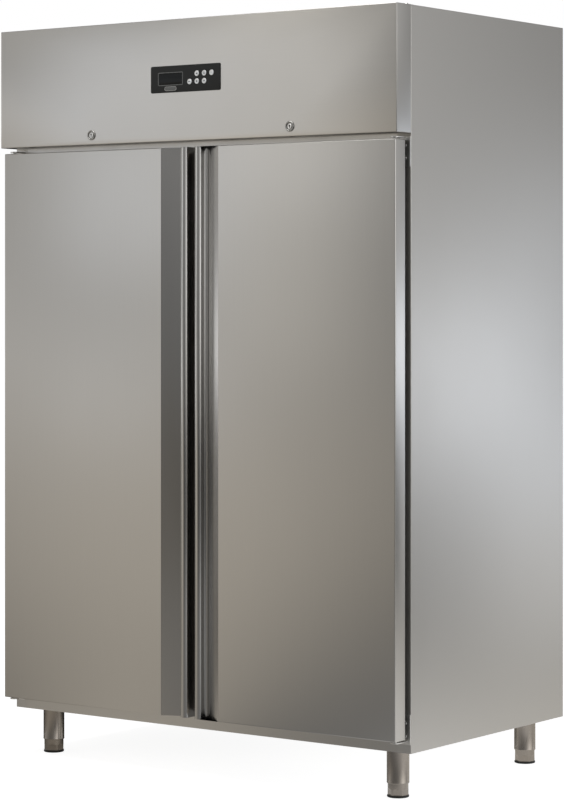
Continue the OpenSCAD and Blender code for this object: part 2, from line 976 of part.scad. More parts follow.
module evaporator_fan() {
    color("dimgray")
    translate([0, evaporator_fan_y, fan_axis_z]) fan(evaporator_fan_r, 22, evaporator_fan_t, 5);
}

module evaporator_fan_motor() {
    color("gray")
    translate([0, evaporator_fan_y + evaporator_fan_t / 2 + 3, fan_axis_z])
        fan_motor(28, 50, 17, evaporator_h / 2 - sheet_t);
}

// ---- Condensing unit on the roof ----

unit_z = roof_z;
unit_t = 2;
unit_half_w = 430;
unit_y = [body_y + 70, back_y - 70];
condenser_x = [-20, 260];
condenser_y = body_y + 95;
condenser_d = 50;
condenser_z = unit_z + unit_t;
condenser_mid_x = (condenser_x[0] + condenser_x[1]) / 2;
condenser_axis_z = condenser_z + condenser_h / 2;
shroud_d = 42;
compressor_x = -240;
compressor_y = body_y + 270;
grommet_h = 14;
compressor_foot_w = 190;

module unit_base() {
    color("darkgray")
    difference() {
        block([-unit_half_w, unit_y[0], unit_z], [unit_half_w, unit_y[1], unit_z + unit_t]);
        for (x = [-1, 1], y = unit_y) {
            translate([x * (unit_half_w - 30), y + (y < 0 ? 30 : -30), unit_z - past])
                cylinder(r = 4.5, h = unit_t + 2 * past);
        }
    }
}

// Places of the four compressor mounts
module at_grommets() {
    for (x = [-1, 1], y = [-1, 1]) {
        translate([
            compressor_x + x * (compressor_foot_w / 2 - 16),
            compressor_y + y * (compressor_foot_w / 2 - 16),
            0
        ])
            children();
    }
}

module compressor_grommets() {
    color("black")
    at_grommets()
        translate([0, 0, unit_z + unit_t]) cylinder(r = 12, h = grommet_h);
}

module compressor() {
    foot_z = unit_z + unit_t + grommet_h;
    shell_z = foot_z + 3;
    shell_h = 150;
    dome_h = 45;
    r = compressor_r;
    color([0.15, 0.15, 0.16]) {
        translate([compressor_x, compressor_y, shell_z - past])
            rotate_extrude()
                polygon(concat(
                    [[0, 0], [r, 0]],
                    [for (a = [0 : 10 : 90]) [r * cos(a), shell_h - dome_h + dome_h * sin(a)]]
                ));
        translate([compressor_x - compressor_foot_w / 2, compressor_y - compressor_foot_w / 2, foot_z])
            cube([compressor_foot_w, compressor_foot_w, 3]);
        translate([compressor_x - r - 22, compressor_y - 25, foot_z + 45]) cube([40, 50, 60]);
    }
}

module condenser_coil() {
    color("dimgray")
    finned_block(
        [condenser_x[0], condenser_y, condenser_z],
        [condenser_x[1], condenser_y + condenser_d, condenser_z + condenser_h],
        14, 8
    );
}

module condenser_shroud() {
    y0 = condenser_y + condenser_d + seam;
    color("gray")
    difference() {
        block(
            [condenser_x[0], y0, condenser_z],
            [condenser_x[1], y0 + shroud_d, condenser_z + condenser_h]
        );
        block(
            [condenser_x[0] + sheet_t, y0 - past, condenser_z + sheet_t],
            [condenser_x[1] - sheet_t, y0 + shroud_d - sheet_t, condenser_z + condenser_h - sheet_t]
        );
        rod_y([condenser_mid_x, y0, condenser_axis_z], condenser_fan_r + 4, shroud_d + past);
    }
}

condenser_fan_t = 30;
condenser_fan_y = condenser_y + condenser_d + seam + 26;

module condenser_fan() {
    color("dimgray")
    translate([condenser_mid_x, condenser_fan_y, condenser_axis_z])
        fan(condenser_fan_r, 30, condenser_fan_t, 5);
}

module condenser_fan_motor() {
    color("gray")
    translate([condenser_mid_x, condenser_fan_y + condenser_fan_t / 2 + 3, condenser_axis_z])
        fan_motor(38, 70, 24, condenser_h / 2);
}

module drip_tray() {
    x = [60, 330];
    y = [back_y - 190, back_y - 110];
    z = unit_z + unit_t;
    tray_h = 40;
    color("lightgray")
    difference() {
        block([x[0], y[0], z], [x[1], y[1], z + tray_h]);
        block([x[0] + 2, y[0] + 2, z + 2], [x[1] - 2, y[1] - 2, z + tray_h + past]);
    }
}

module electrical_box() {
    x = [-unit_half_w + 10, -unit_half_w + 60];
    y = [body_y + 420, body_y + 600];
    color("whitesmoke")
    block([x[0], y[0], unit_z + unit_t], [x[1], y[1], unit_z + unit_t + 130]);
}

// A pipe through a list of points
module pipe_run(points, r) {
    for (i = [0 : len(points) - 2]) {
        span = points[i + 1] - points[i];
        length = norm(span);
        translate(points[i])
            rotate([0, acos(span[2] / length), atan2(span[1], span[0])])
                cylinder(r = r, h = length);
    }
    for (i = [1 : len(points) - 2]) {
        translate(points[i]) sphere(r = r * 1.12);
    }
}

module refrigerant_pipes() {
    low = unit_z + unit_t;
    shell_x = compressor_x + compressor_r + seam;
    drier_y = compressor_y + 110;
    color("peru") {
        pipe_run([
            [shell_x, compressor_y - 30, low + 90],
            [shell_x + 30, compressor_y - 30, low + 90],
            [shell_x + 30, compressor_y - 30, low + 230],
            [shell_x + 30, condenser_y + 25, low + 230],
            [condenser_x[0] - seam, condenser_y + 25, low + 230]
        ], 4);
        pipe_run([
            [condenser_x[0] - seam, condenser_y + 25, low + 22],
            [condenser_x[0] - 60, condenser_y + 25, low + 22],
            [condenser_x[0] - 60, drier_y, low + 22],
            [condenser_x[0] - 60, drier_y + 160, low + 22],
            [condenser_x[0] - 60, drier_y + 160, low]
        ], 3);
        rod_y([condenser_x[0] - 60, drier_y, low + 22], 11, 110);
        pipe_run([
            [shell_x, compressor_y + 30, low + 70],
            [shell_x + 40, compressor_y + 30, low + 70],
            [shell_x + 40, compressor_y + 30, low]
        ], 5);
    }
}

side_panel_left();
side_panel_right();
back_panel();
base_panel();
roof_panel();
insulation();
liner();
face_frame();
centre_mullion();
shelf_posts();
shelf_runners();
shelves();
evaporator_coil();
evaporator_cover();
evaporator_fan_motor();
unit_base();
compressor();
compressor_grommets();
condenser_coil();
condenser_shroud();
condenser_fan_motor();
drip_tray();
refrigerant_pipes();
electrical_box();
rear_grille();
hinge_brackets();
legs();
screws();
cable_gland();
mirror([1, 0, 0]) door_skin();  // door_left_skin
mirror([1, 0, 0]) door_foam();  // door_left_foam
mirror([1, 0, 0]) door_liner();  // door_left_liner
mirror([1, 0, 0]) door_gasket();  // door_left_gasket
mirror([1, 0, 0]) door_handle();  // door_left_handle
mirror([1, 0, 0]) door_bushes();  // door_left_bushes
door_skin();  // door_right_skin
door_foam();  // door_right_foam
door_liner();  // door_right_liner
door_gasket();  // door_right_gasket
door_handle();  // door_right_handle
door_bushes();  // door_right_bushes
header_panel();
control_bezel();
display_lens();
control_board();
lock_bodies();
button(0);  // button_1
button(1);  // button_2
button(2);  // button_3
button(3);  // button_4
button(4);  // button_5
button(5);  // button_6
mirror([1, 0, 0]) lock_barrel();  // lock_barrel_left
lock_barrel();  // lock_barrel_right
evaporator_fan();
condenser_fan();
foot(-leg_x, leg_ys[0]);  // foot_front_left
foot(leg_x, leg_ys[0]);  // foot_front_right
foot(-leg_x, leg_ys[1]);  // foot_back_left
foot(leg_x, leg_ys[1]);  // foot_back_right
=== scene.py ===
from math import atan2, cos, pi, radians, sin, sqrt

import bmesh
import bpy
from mathutils import Matrix, Vector


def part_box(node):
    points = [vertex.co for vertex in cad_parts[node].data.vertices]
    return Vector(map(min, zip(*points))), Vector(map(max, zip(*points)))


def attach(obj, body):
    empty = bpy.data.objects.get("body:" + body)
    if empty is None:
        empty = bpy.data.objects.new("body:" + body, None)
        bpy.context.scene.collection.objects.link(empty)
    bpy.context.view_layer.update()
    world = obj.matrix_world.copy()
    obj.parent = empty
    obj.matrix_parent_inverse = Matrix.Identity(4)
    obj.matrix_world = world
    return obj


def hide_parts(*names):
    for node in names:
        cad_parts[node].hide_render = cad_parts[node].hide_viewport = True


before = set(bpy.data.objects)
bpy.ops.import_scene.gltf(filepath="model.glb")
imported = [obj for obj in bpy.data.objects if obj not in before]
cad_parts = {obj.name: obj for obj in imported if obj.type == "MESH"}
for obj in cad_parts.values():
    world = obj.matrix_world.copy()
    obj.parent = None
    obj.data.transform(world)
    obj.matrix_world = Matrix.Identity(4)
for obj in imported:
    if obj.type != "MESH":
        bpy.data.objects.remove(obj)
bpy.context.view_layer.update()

MM = 0.001


# ---------------------------------------------------------------- sizes, from the CAD parts

def low(node):
    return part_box(node)[0]


def high(node):
    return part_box(node)[1]


def middle(node):
    """The middle of a CAD node's box, as plain numbers."""
    return tuple((a + b) / 2 for a, b in zip(low(node), high(node)))


def near_corners(lo, hi, inset):
    """Four places on a level, each inset from one corner of a box."""
    return [(x, y) for x in (lo.x + inset, hi.x - inset) for y in (lo.y + inset, hi.y - inset)]


SIDE_X = high("side_panel_right").x
BODY_Y = low("side_panel_right").y
TOP_Z = high("side_panel_right").z
HEADER_Y = low("header_panel").y
DOOR_Y = low("door_right_skin").y
DOOR_Z = low("door_right_skin").z
DOOR_TOP_Z = high("door_right_skin").z
DOOR_OUT_X = high("door_right_skin").x
GRIP_IN_X = low("door_right_handle").x
GRIP_OUT_X = high("door_right_handle").x
SHEET = 1.2 * MM


# ---------------------------------------------------------------- camera

def make_camera():
    """A long lens, level, to the right of the front, with the horizon above the middle."""
    data = bpy.data.cameras.new("camera")
    data.sensor_width = 36
    data.lens = 121.69
    data.shift_x = 0
    data.shift_y = -0.1336
    data.clip_end = 100
    camera = bpy.data.objects.new("camera", data)
    camera.location = (4.5014, HEADER_Y - 5.7224, 1.3096)
    camera.rotation_euler = (radians(90), 0, radians(36.198))
    bpy.context.scene.collection.objects.link(camera)
    bpy.context.scene.camera = camera


# ---------------------------------------------------------------- materials

def node_material(name, metallic, colour, rough):
    """A new material, with its Principled shader and its texture coordinates."""
    material = bpy.data.materials.new(name)
    material.use_nodes = True
    nodes = material.node_tree.nodes
    shader = nodes["Principled BSDF"]
    shader.inputs["Metallic"].default_value = metallic
    shader.inputs["Base Color"].default_value = (*colour, 1)
    shader.inputs["Roughness"].default_value = rough
    coordinate = nodes.new("ShaderNodeTexCoord")
    return material, shader, coordinate


def noise(material, coordinate, scale, detail=3.0, rough=0.5, distortion=0.0):
    """Noise whose size along each axis is set by scale, in cells per metre."""
    nodes, links = material.node_tree.nodes, material.node_tree.links
    mapping = nodes.new("ShaderNodeMapping")
    mapping.inputs["Scale"].default_value = scale
    texture = nodes.new("ShaderNodeTexNoise")
    texture.inputs["Scale"].default_value = 1.0
    texture.inputs["Detail"].default_value = detail
    texture.inputs["Roughness"].default_value = rough
    texture.inputs["Distortion"].default_value = distortion
    links.new(coordinate.outputs["Object"], mapping.inputs["Vector"])
    links.new(mapping.outputs["Vector"], texture.inputs["Vector"])
    return texture.outputs["Fac"]


def spread(material, value, to_low, to_high, from_low=0.3, from_high=0.7):
    """The value moved from one range to another."""
    nodes, links = material.node_tree.nodes, material.node_tree.links
    remap = nodes.new("ShaderNodeMapRange")
    remap.inputs["From Min"].default_value = from_low
    remap.inputs["From Max"].default_value = from_high
    remap.inputs["To Min"].default_value = to_low
    remap.inputs["To Max"].default_value = to_high
    links.new(value, remap.inputs["Value"])
    return remap.outputs["Result"]


def two_tone(material, value, first, second):
    """A colour between two colours, set by the value."""
    nodes, links = material.node_tree.nodes, material.node_tree.links
    mix = nodes.new("ShaderNodeMix")
    mix.data_type = "RGBA"
    mix.inputs["A"].default_value = (*first, 1)
    mix.inputs["B"].default_value = (*second, 1)
    links.new(value, mix.inputs["Factor"])
    return mix.outputs["Result"]


def bump(material, shader, height, strength, distance, before=None):
    """Bump from a height, on top of an earlier bump."""
    nodes, links = material.node_tree.nodes, material.node_tree.links
    node = nodes.new("ShaderNodeBump")
    node.inputs["Strength"].default_value = strength
    node.inputs["Distance"].default_value = distance
    links.new(height, node.inputs["Height"])
    if before is not None:
        links.new(before, node.inputs["Normal"])
    links.new(node.outputs["Normal"], shader.inputs["Normal"])
    return node.outputs["Normal"]


def paint(material, shader, value, first, second):
    """Base colour between two colours, set by the value."""
    colour = two_tone(material, value, first, second)
    material.node_tree.links.new(colour, shader.inputs["Base Color"])


def roughen(material, shader, value, to_low, to_high, *of):
    """Roughness between two amounts, set by the value."""
    amount = spread(material, value, to_low, to_high, *of)
    material.node_tree.links.new(amount, shader.inputs["Roughness"])


def brushed(name, colour, rough, grain, wave=0.25, tone=0.035, grain_bump=0.05):
    """Rolled stainless sheet: fine grain along one axis, slow waves and faint smudges."""
    material, shader, coordinate = node_material(name, 1.0, colour, rough)
    fine = noise(material, coordinate, grain, 2.0, 0.55)
    patches = noise(material, coordinate, (2.1, 2.1, 1.3), 1.0, 0.5)
    smudges = noise(material, coordinate, (9, 9, 5), 2.0, 0.5)
    darker = tuple(c * (1 - tone) for c in colour)
    lighter = tuple(min(1, c * (1 + tone)) for c in colour)
    paint(material, shader, spread(material, fine, 0, 1), darker, lighter)
    nodes, links = material.node_tree.nodes, material.node_tree.links
    total = nodes.new("ShaderNodeMath")
    total.operation = "ADD"
    links.new(spread(material, fine, -0.015, 0.015), total.inputs[0])
    links.new(spread(material, smudges, rough - 0.006, rough + 0.006), total.inputs[1])
    links.new(total.outputs["Value"], shader.inputs["Roughness"])
    first = bump(material, shader, fine, grain_bump, 0.0002)
    bump(material, shader, patches, wave, 0.0012, first)
    return material


def streaked(name, colour, rough):
    """Polished tube: highlights drawn out along it, over a fine turned grain."""
    material = brushed(name, colour, rough, (160, 160, 4), 0.02, 0.03, 0.0)
    shader = material.node_tree.nodes["Principled BSDF"]
    shader.inputs["Anisotropic"].default_value = 0.9
    shader.inputs["Anisotropic Rotation"].default_value = 0.25
    return material


def plastic(name, colour, rough, grain=900, grain_bump=0.08, tone=0.08, gloss=0.5):
    """Moulded plastic or paint with a fine skin texture."""
    material, shader, coordinate = node_material(name, 0.0, colour, rough)
    shader.inputs["Specular IOR Level"].default_value = gloss
    skin = noise(material, coordinate, (grain, grain, grain), 2.0)
    haze = noise(material, coordinate, (9, 9, 9), 3.0)
    darker = tuple(c * (1 - tone) for c in colour)
    lighter = tuple(min(1, c * (1 + tone)) for c in colour)
    paint(material, shader, spread(material, haze, 0, 1), darker, lighter)
    roughen(material, shader, haze, rough - 0.04, rough + 0.04)
    bump(material, shader, skin, grain_bump, 0.0003)
    return material


def galvanised(name):
    """Zinc-coated sheet: irregular crystals of slightly different greys."""
    colour = (0.50, 0.51, 0.52)
    material, shader, coordinate = node_material(name, 1.0, colour, 0.42)
    nodes, links = material.node_tree.nodes, material.node_tree.links
    cells = nodes.new("ShaderNodeTexVoronoi")
    cells.inputs["Scale"].default_value = 95
    links.new(coordinate.outputs["Object"], cells.inputs["Vector"])
    grey = nodes.new("ShaderNodeSeparateColor")
    links.new(cells.outputs["Color"], grey.inputs["Color"])
    tone = grey.outputs["Red"]
    paint(material, shader, tone, (0.44, 0.45, 0.46), (0.56, 0.57, 0.58))
    roughen(material, shader, tone, 0.36, 0.48, 0, 1)
    bump(material, shader, noise(material, coordinate, (4, 4, 4), 2.0), 0.2, 0.001)
    return material


def foam(name):
    """Rigid yellow foam with small cells."""
    material, shader, coordinate = node_material(name, 0.0, (0.80, 0.68, 0.36), 0.9)
    nodes, links = material.node_tree.nodes, material.node_tree.links
    cells = nodes.new("ShaderNodeTexVoronoi")
    cells.inputs["Scale"].default_value = 420
    links.new(coordinate.outputs["Object"], cells.inputs["Vector"])
    paint(material, shader, cells.outputs["Distance"], (0.62, 0.50, 0.24), (0.84, 0.73, 0.42))
    bump(material, shader, cells.outputs["Distance"], 0.4, 0.0006)
    return material


def finned(name, colour, metallic, rough, pitch, across):
    """Thin fins packed side by side, shown by fine ridges between the cut grooves."""
    material, shader, coordinate = node_material(name, metallic, colour, rough)
    nodes, links = material.node_tree.nodes, material.node_tree.links
    mapping = nodes.new("ShaderNodeMapping")
    mapping.inputs["Scale"].default_value = across
    ridges = nodes.new("ShaderNodeTexWave")
    ridges.inputs["Scale"].default_value = 1 / pitch
    links.new(coordinate.outputs["Object"], mapping.inputs["Vector"])
    links.new(mapping.outputs["Vector"], ridges.inputs["Vector"])
    dust = noise(material, coordinate, (30, 30, 30), 3.0)
    darker = tuple(c * 0.6 for c in colour)
    paint(material, shader, spread(material, dust, 0, 1), darker, colour)
    roughen(material, shader, dust, rough - 0.06, rough + 0.08)
    bump(material, shader, ridges.outputs["Fac"], 0.6, 0.001)
    return material


def make_materials():
    """One material for each slot of the record, and a few for small details."""
    across_x = (1400, 1400, 5)
    along_x = (5, 1400, 1400)
    sheet = (0.60, 0.585, 0.56)
    table = (
        (brushed, "stainless_outer", sheet, 0.30, across_x, 0.02, 0.012, 0.02),
        (brushed, "stainless_header", sheet, 0.30, along_x, 0.02, 0.012, 0.02),
        (brushed, "stainless_side", sheet, 0.38, along_x, 0.02, 0.012, 0.02),
        (brushed, "stainless_handle", (0.56, 0.55, 0.535), 0.22, across_x, 0.02, 0.012, 0.02),
        # Leg steel darkened and tinted brown: a painted reflection of a dark brown room
        (streaked, "stainless_leg", (0.38, 0.345, 0.31), 0.17),
        (brushed, "liner_steel", (0.66, 0.655, 0.645), 0.32, along_x, 0.2),
        (brushed, "bracket_steel", (0.80, 0.79, 0.77), 0.34, across_x, 0.02, 0.02, 0.02),
        (brushed, "screw_steel", (0.52, 0.52, 0.51), 0.25, (600, 600, 600), 0.1, 0.06, 0.05),
        # Foot steel darkened and tinted brown: a painted reflection of a dark brown room
        (streaked, "foot_steel", (0.36, 0.325, 0.29), 0.17),
        (brushed, "lock_chrome", (0.78, 0.77, 0.75), 0.34, (700, 700, 700), 0.02, 0.02, 0.02),
        # Lock steel made dark: painted shade for the shadowed outer ring of each lock
        (brushed, "lock_rose", (0.36, 0.355, 0.34), 0.30, (700, 700, 700), 0.02, 0.02, 0.02),
        (brushed, "button_silver", (0.74, 0.75, 0.76), 0.30, (500, 500, 500), 0.1, 0.04, 0.03),
        (brushed, "copper_pipe", (0.70, 0.36, 0.22), 0.30, (180, 180, 180), 0.2, 0.12, 0.05),
        (galvanised, "galvanised_sheet"),
        (foam, "foam"),
        (plastic, "gasket_rubber", (0.022, 0.022, 0.023), 0.62, 700, 0.10),
        (plastic, "grommet_rubber", (0.018, 0.018, 0.018), 0.70, 700, 0.12),
        (plastic, "nylon_white", (0.80, 0.79, 0.74), 0.45),
        (plastic, "bezel_black", (0.015, 0.016, 0.016), 0.42, 1500, 0.06, 0.08, 0.27),
        (plastic, "display_dark", (0.004, 0.005, 0.005), 0.16, 300, 0.01, 0.08, 0.2),
        (plastic, "shelf_coating", (0.66, 0.68, 0.68), 0.35, 500, 0.05, 0.04),
        (finned, "coil_aluminium", (0.70, 0.71, 0.72), 1.0, 0.35, 0.006, (1, 0, 0)),
        (finned, "condenser_black", (0.035, 0.035, 0.038), 0.0, 0.5, 0.005, (1, 0, 0)),
        (plastic, "compressor_black", (0.016, 0.016, 0.017), 0.33, 240, 0.12, 0.2),
        (plastic, "motor_grey", (0.22, 0.23, 0.24), 0.40, 260, 0.10, 0.1),
        (plastic, "fan_plastic", (0.022, 0.022, 0.024), 0.45, 500, 0.05),
        (plastic, "box_grey", (0.58, 0.60, 0.60), 0.45, 600, 0.08, 0.04),
        # Near-black fill for the keyholes: painted shade inside them
        (plastic, "keyway_dark", (0.012, 0.012, 0.012), 0.7, 500, 0.05, 0.08, 0.1),
        (plastic, "symbol_ink", (0.05, 0.055, 0.06), 0.5),
        (plastic, "symbol_pale", (0.30, 0.31, 0.31), 0.5),
        (plastic, "outline_grey", (0.125, 0.13, 0.128), 0.4),
        (plastic, "outline_light", (0.42, 0.42, 0.41), 0.35),
    )
    return {name: maker(name, *settings) for maker, name, *settings in table}


MATERIALS = make_materials()


# ---------------------------------------------------------------- mesh helpers

def finish_piece(piece, body, slot_name, replaced=(), material=None, sharp=32):
    """Shading, material, body and the CAD nodes that the piece stands for."""
    mesh = piece.data
    mesh.polygons.foreach_set("use_smooth", [True] * len(mesh.polygons))
    mesh.set_sharp_from_angle(angle=radians(sharp))
    mesh.materials.clear()
    mesh.materials.append(MATERIALS[material or slot_name])
    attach(piece, body)
    if replaced:
        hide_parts(*replaced)
    return piece


def from_bmesh_as_is(name, shape):
    """A new object from a bmesh."""
    mesh = bpy.data.meshes.new(name)
    shape.to_mesh(mesh)
    shape.free()
    piece = bpy.data.objects.new(name, mesh)
    bpy.context.scene.collection.objects.link(piece)
    return piece


def from_bmesh(name, shape):
    """A new object from a bmesh, with its faces turned outwards."""
    bmesh.ops.recalc_face_normals(shape, faces=shape.faces)
    return from_bmesh_as_is(name, shape)


def join_meshes(name, pieces):
    """One object from several, which are removed."""
    shape = bmesh.new()
    for piece in pieces:
        piece.data.transform(piece.matrix_world)
        shape.from_mesh(piece.data)
        bpy.data.objects.remove(piece)
    return from_bmesh_as_is(name, shape)


def apply_modifiers(piece):
    """The piece's mesh as its modifiers leave it."""
    graph = bpy.context.evaluated_depsgraph_get()
    mesh = bpy.data.meshes.new_from_object(piece.evaluated_get(graph))
    piece.modifiers.clear()
    piece.data = mesh
    return piece


def cut(piece, cutters):
    """Takes the cutters away from the piece and removes them."""
    for cutter in cutters:
        modifier = piece.modifiers.new("cut", "BOOLEAN")
        modifier.object = cutter
        modifier.operation = "DIFFERENCE"
        modifier.solver = "EXACT"
    apply_modifiers(piece)
    for cutter in cutters:
        bpy.data.objects.remove(cutter)
    return piece


def box_shape(lo, hi):
    shape = bmesh.new()
    bmesh.ops.create_cube(shape, size=1)
    for v in shape.verts:
        v.co = Vector([lo[i] if v.co[i] < 0 else hi[i] for i in range(3)])
    return shape


def plain_box(name, lo, hi):
    return from_bmesh(name, box_shape(lo, hi))


def soft_box(name, lo, hi, radius, segments=3):
    """A box with rounded edges."""
    shape = box_shape(lo, hi)
    bmesh.ops.bevel(
        shape, geom=shape.edges[:], offset=radius, segments=segments, profile=0.5, affect="EDGES"
    )
    return from_bmesh(name, shape)


def folded_sheet(name, lo, hi, open_sides, radius, thickness, segments=4):
    """Sheet metal folded round a box: the sides named as (axis, sign) are left open."""
    shape = box_shape(lo, hi)
    bmesh.ops.recalc_face_normals(shape, faces=shape.faces)
    gone = [f for f in shape.faces if any(f.normal[a] * s > 0.5 for a, s in open_sides)]
    bmesh.ops.delete(shape, geom=gone, context="FACES_ONLY")
    loose = [e for e in shape.edges if not e.link_faces]
    bmesh.ops.delete(shape, geom=loose, context="EDGES")
    bends = [e for e in shape.edges if len(e.link_faces) == 2]
    bmesh.ops.bevel(
        shape, geom=bends, offset=radius, segments=segments, profile=0.5, affect="EDGES"
    )
    piece = from_bmesh(name, shape)
    centre = Vector([(lo[i] + hi[i]) / 2 for i in range(3)])
    face = piece.data.polygons[0]
    if face.normal.dot(face.center - centre) < 0:
        piece.data.flip_normals()
    modifier = piece.modifiers.new("thickness", "SOLIDIFY")
    modifier.thickness = thickness
    modifier.offset = -1
    return apply_modifiers(piece)


def mm(pairs):
    """Pairs of millimetres in metres."""
    return [(a * MM, b * MM) for a, b in pairs]


def add_box(shape, lo, hi, turn=None):
    """Adds a box to a bmesh."""
    verts = [
        shape.verts.new((turn @ Vector((x, y, z))) if turn else (x, y, z))
        for z in (lo[2], hi[2]) for y in (lo[1], hi[1]) for x in (lo[0], hi[0])
    ]
    for a, b, c, d in ((0, 2, 3, 1), (4, 5, 7, 6), (0, 1, 5, 4), (2, 6, 7, 3), (0, 4, 6, 2), (1, 3, 7, 5)):
        shape.faces.new((verts[a], verts[b], verts[c], verts[d]))


def facing_back(place):
    """Turns +Z to point to the back, at a place."""
    return Matrix.Translation(place) @ Matrix.Rotation(radians(-90), 4, "X")


def add_revolved(shape, profile, steps, turn):
    """Adds a closed outline of (radius, height) turned round an axis, moved by a matrix."""
    rings = []
    for r, h in profile:
        count = 1 if r < 1e-7 else steps
        rings.append([
            shape.verts.new(turn @ Vector((r * cos(2 * pi * k / steps), r * sin(2 * pi * k / steps), h)))
            for k in range(count)
        ])
    for a, b in zip(rings, rings[1:]):
        for k in range(steps):
            n = (k + 1) % steps
            if len(a) == 1 and len(b) == 1:
                continue
            if len(a) == 1:
                shape.faces.new((a[0], b[n], b[k]))
            elif len(b) == 1:
                shape.faces.new((a[k], a[n], b[0]))
            else:
                shape.faces.new((a[k], a[n], b[n], b[k]))
    bmesh.ops.remove_doubles(shape, verts=[v for ring in rings for v in ring], dist=1e-7)


def add_loft(shape, rings):
    """Adds a closed skin over rings of the same number of points."""
    rows = [[shape.verts.new(p) for p in ring] for ring in rings]
    count = len(rows[0])
    for a, b in zip(rows, rows[1:]):
        for k in range(count):
            n = (k + 1) % count
            shape.faces.new((a[k], a[n], b[n], b[k]))
    for row in (rows[0], rows[-1]):
        cap = shape.faces.new(row)
        bmesh.ops.triangulate(shape, faces=[cap])


def add_sweep(shape, points, r, sides=12, bend=0.0, closed=False):
    """Adds a round rod along points, its corners bent to a radius."""
    corners = [Vector(p) for p in points]
    count = len(corners)
    path = []
    for i, p in enumerate(corners):
        if not closed and i in (0, count - 1) or bend == 0:
            path.append(p)
            continue
        before = (corners[i - 1] - p).normalized() * bend
        after = (corners[(i + 1) % count] - p).normalized() * bend
        for k in range(7):
            t = k / 6
            path.append(p + before * (1 - t) ** 2 + after * t ** 2)
    total = len(path)
    side = None
    rows = []
    for i, p in enumerate(path):
        if closed:
            along = (path[(i + 1) % total] - path[i - 1]).normalized()
        else:
            along = (path[min(i + 1, total - 1)] - path[max(i - 1, 0)]).normalized()
        if side is None:
            side = along.orthogonal().normalized()
        side = (side - along * side.dot(along)).normalized()
        other = along.cross(side)
        rows.append([
            shape.verts.new(p + (side * cos(2 * pi * k / sides) + other * sin(2 * pi * k / sides)) * r)
            for k in range(sides)
        ])
    pairs = list(zip(rows, rows[1:])) + ([(rows[-1], rows[0])] if closed else [])
    for a, b in pairs:
        for k in range(sides):
            n = (k + 1) % sides
            shape.faces.new((a[k], a[n], b[n], b[k]))
    if not closed:
        shape.faces.new(list(reversed(rows[0])))
        shape.faces.new(rows[-1])


def add_copy(shape, mesh, turn):
    """Adds a moved copy of a mesh."""
    copy = mesh.copy()
    copy.transform(turn)
    shape.from_mesh(copy)
    bpy.data.meshes.remove(copy)


def revolved(name, profile, steps=64, axis="Z", place=(0, 0, 0)):
    """A closed outline of (radius, height) turned round an axis."""
    shape = bmesh.new()
    turn = facing_back(place) if axis == "Y" else Matrix.Translation(place)
    add_revolved(shape, profile, steps, turn)
    return from_bmesh(name, shape)


def round_rod(r, start, end, steps, axis, place):
    """A plain rod between two heights along its axis."""
    return revolved("rod", [(0, start), (r, start), (r, end), (0, end)], steps, axis, place)


def loft(name, rings):
    """A closed skin over rings of the same number of points."""
    shape = bmesh.new()
    add_loft(shape, rings)
    return from_bmesh(name, shape)


def round_rect(w, h, r, steps=8):
    """Outline of a rectangle with rounded corners, centred."""
    points = []
    for corner, (sx, sy) in enumerate(((1, 1), (-1, 1), (-1, -1), (1, -1))):
        for k in range(steps + 1):
            a = pi / 2 * (corner + k / steps)
            points.append((sx * (w / 2 - r) + r * cos(a), sy * (h / 2 - r) + r * sin(a)))
    return points


def plate(name, outline, back_y, front_y, edge, centre_x=0.0, centre_z=0.0, steps=3):
    """A plate facing the front, with a rounded front edge. outline(inset) gives its points."""
    rings = [[(centre_x + x, back_y, centre_z + z) for x, z in outline(0)]]
    for k in range(steps + 1):
        a = pi / 2 * k / steps
        y = front_y + edge * (1 - sin(a))
        inset = edge * (1 - cos(a))
        rings.append([(centre_x + x, y, centre_z + z) for x, z in outline(inset)])
    return loft(name, rings)


def mirrored(points):
    return [(-x, y, z) for x, y, z in points]


def smooth_cad(node, material, width):
    """Keeps a CAD node, with its edges rounded by a bevel and a finish of its own."""
    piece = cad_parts[node]
    piece.data.materials.clear()
    piece.data.materials.append(MATERIALS[material])
    if width:
        modifier = piece.modifiers.new("edges", "BEVEL")
        modifier.width = width
        modifier.segments = 2
        modifier.limit_method = "ANGLE"
        modifier.angle_limit = radians(40)
        modifier.harden_normals = False


# ---------------------------------------------------------------- doors

BAR_R = 12 * MM
SLOPE = radians(23.3)
CHANNEL_R = 8 * MM
SKIN_T = 1 * MM
SKIN_BEND = 2.6 * MM
BUSH_HOLE_R = 8.2 * MM
LOCK_INSET = 7 * MM
SLOT_NEAR = 10 * MM
SLOT_FAR = 46 * MM
SLOT_HALF = 4.5 * MM
CAM_T = 3 * MM
PAST = 5 * MM
HINGE_INSET = 22 * MM


def arc(centre, r, start, end, steps):
    return [
        (
            centre[0] + r * cos(start + (end - start) * k / steps),
            centre[1] + r * sin(start + (end - start) * k / steps),
        )
        for k in range(steps + 1)
    ]


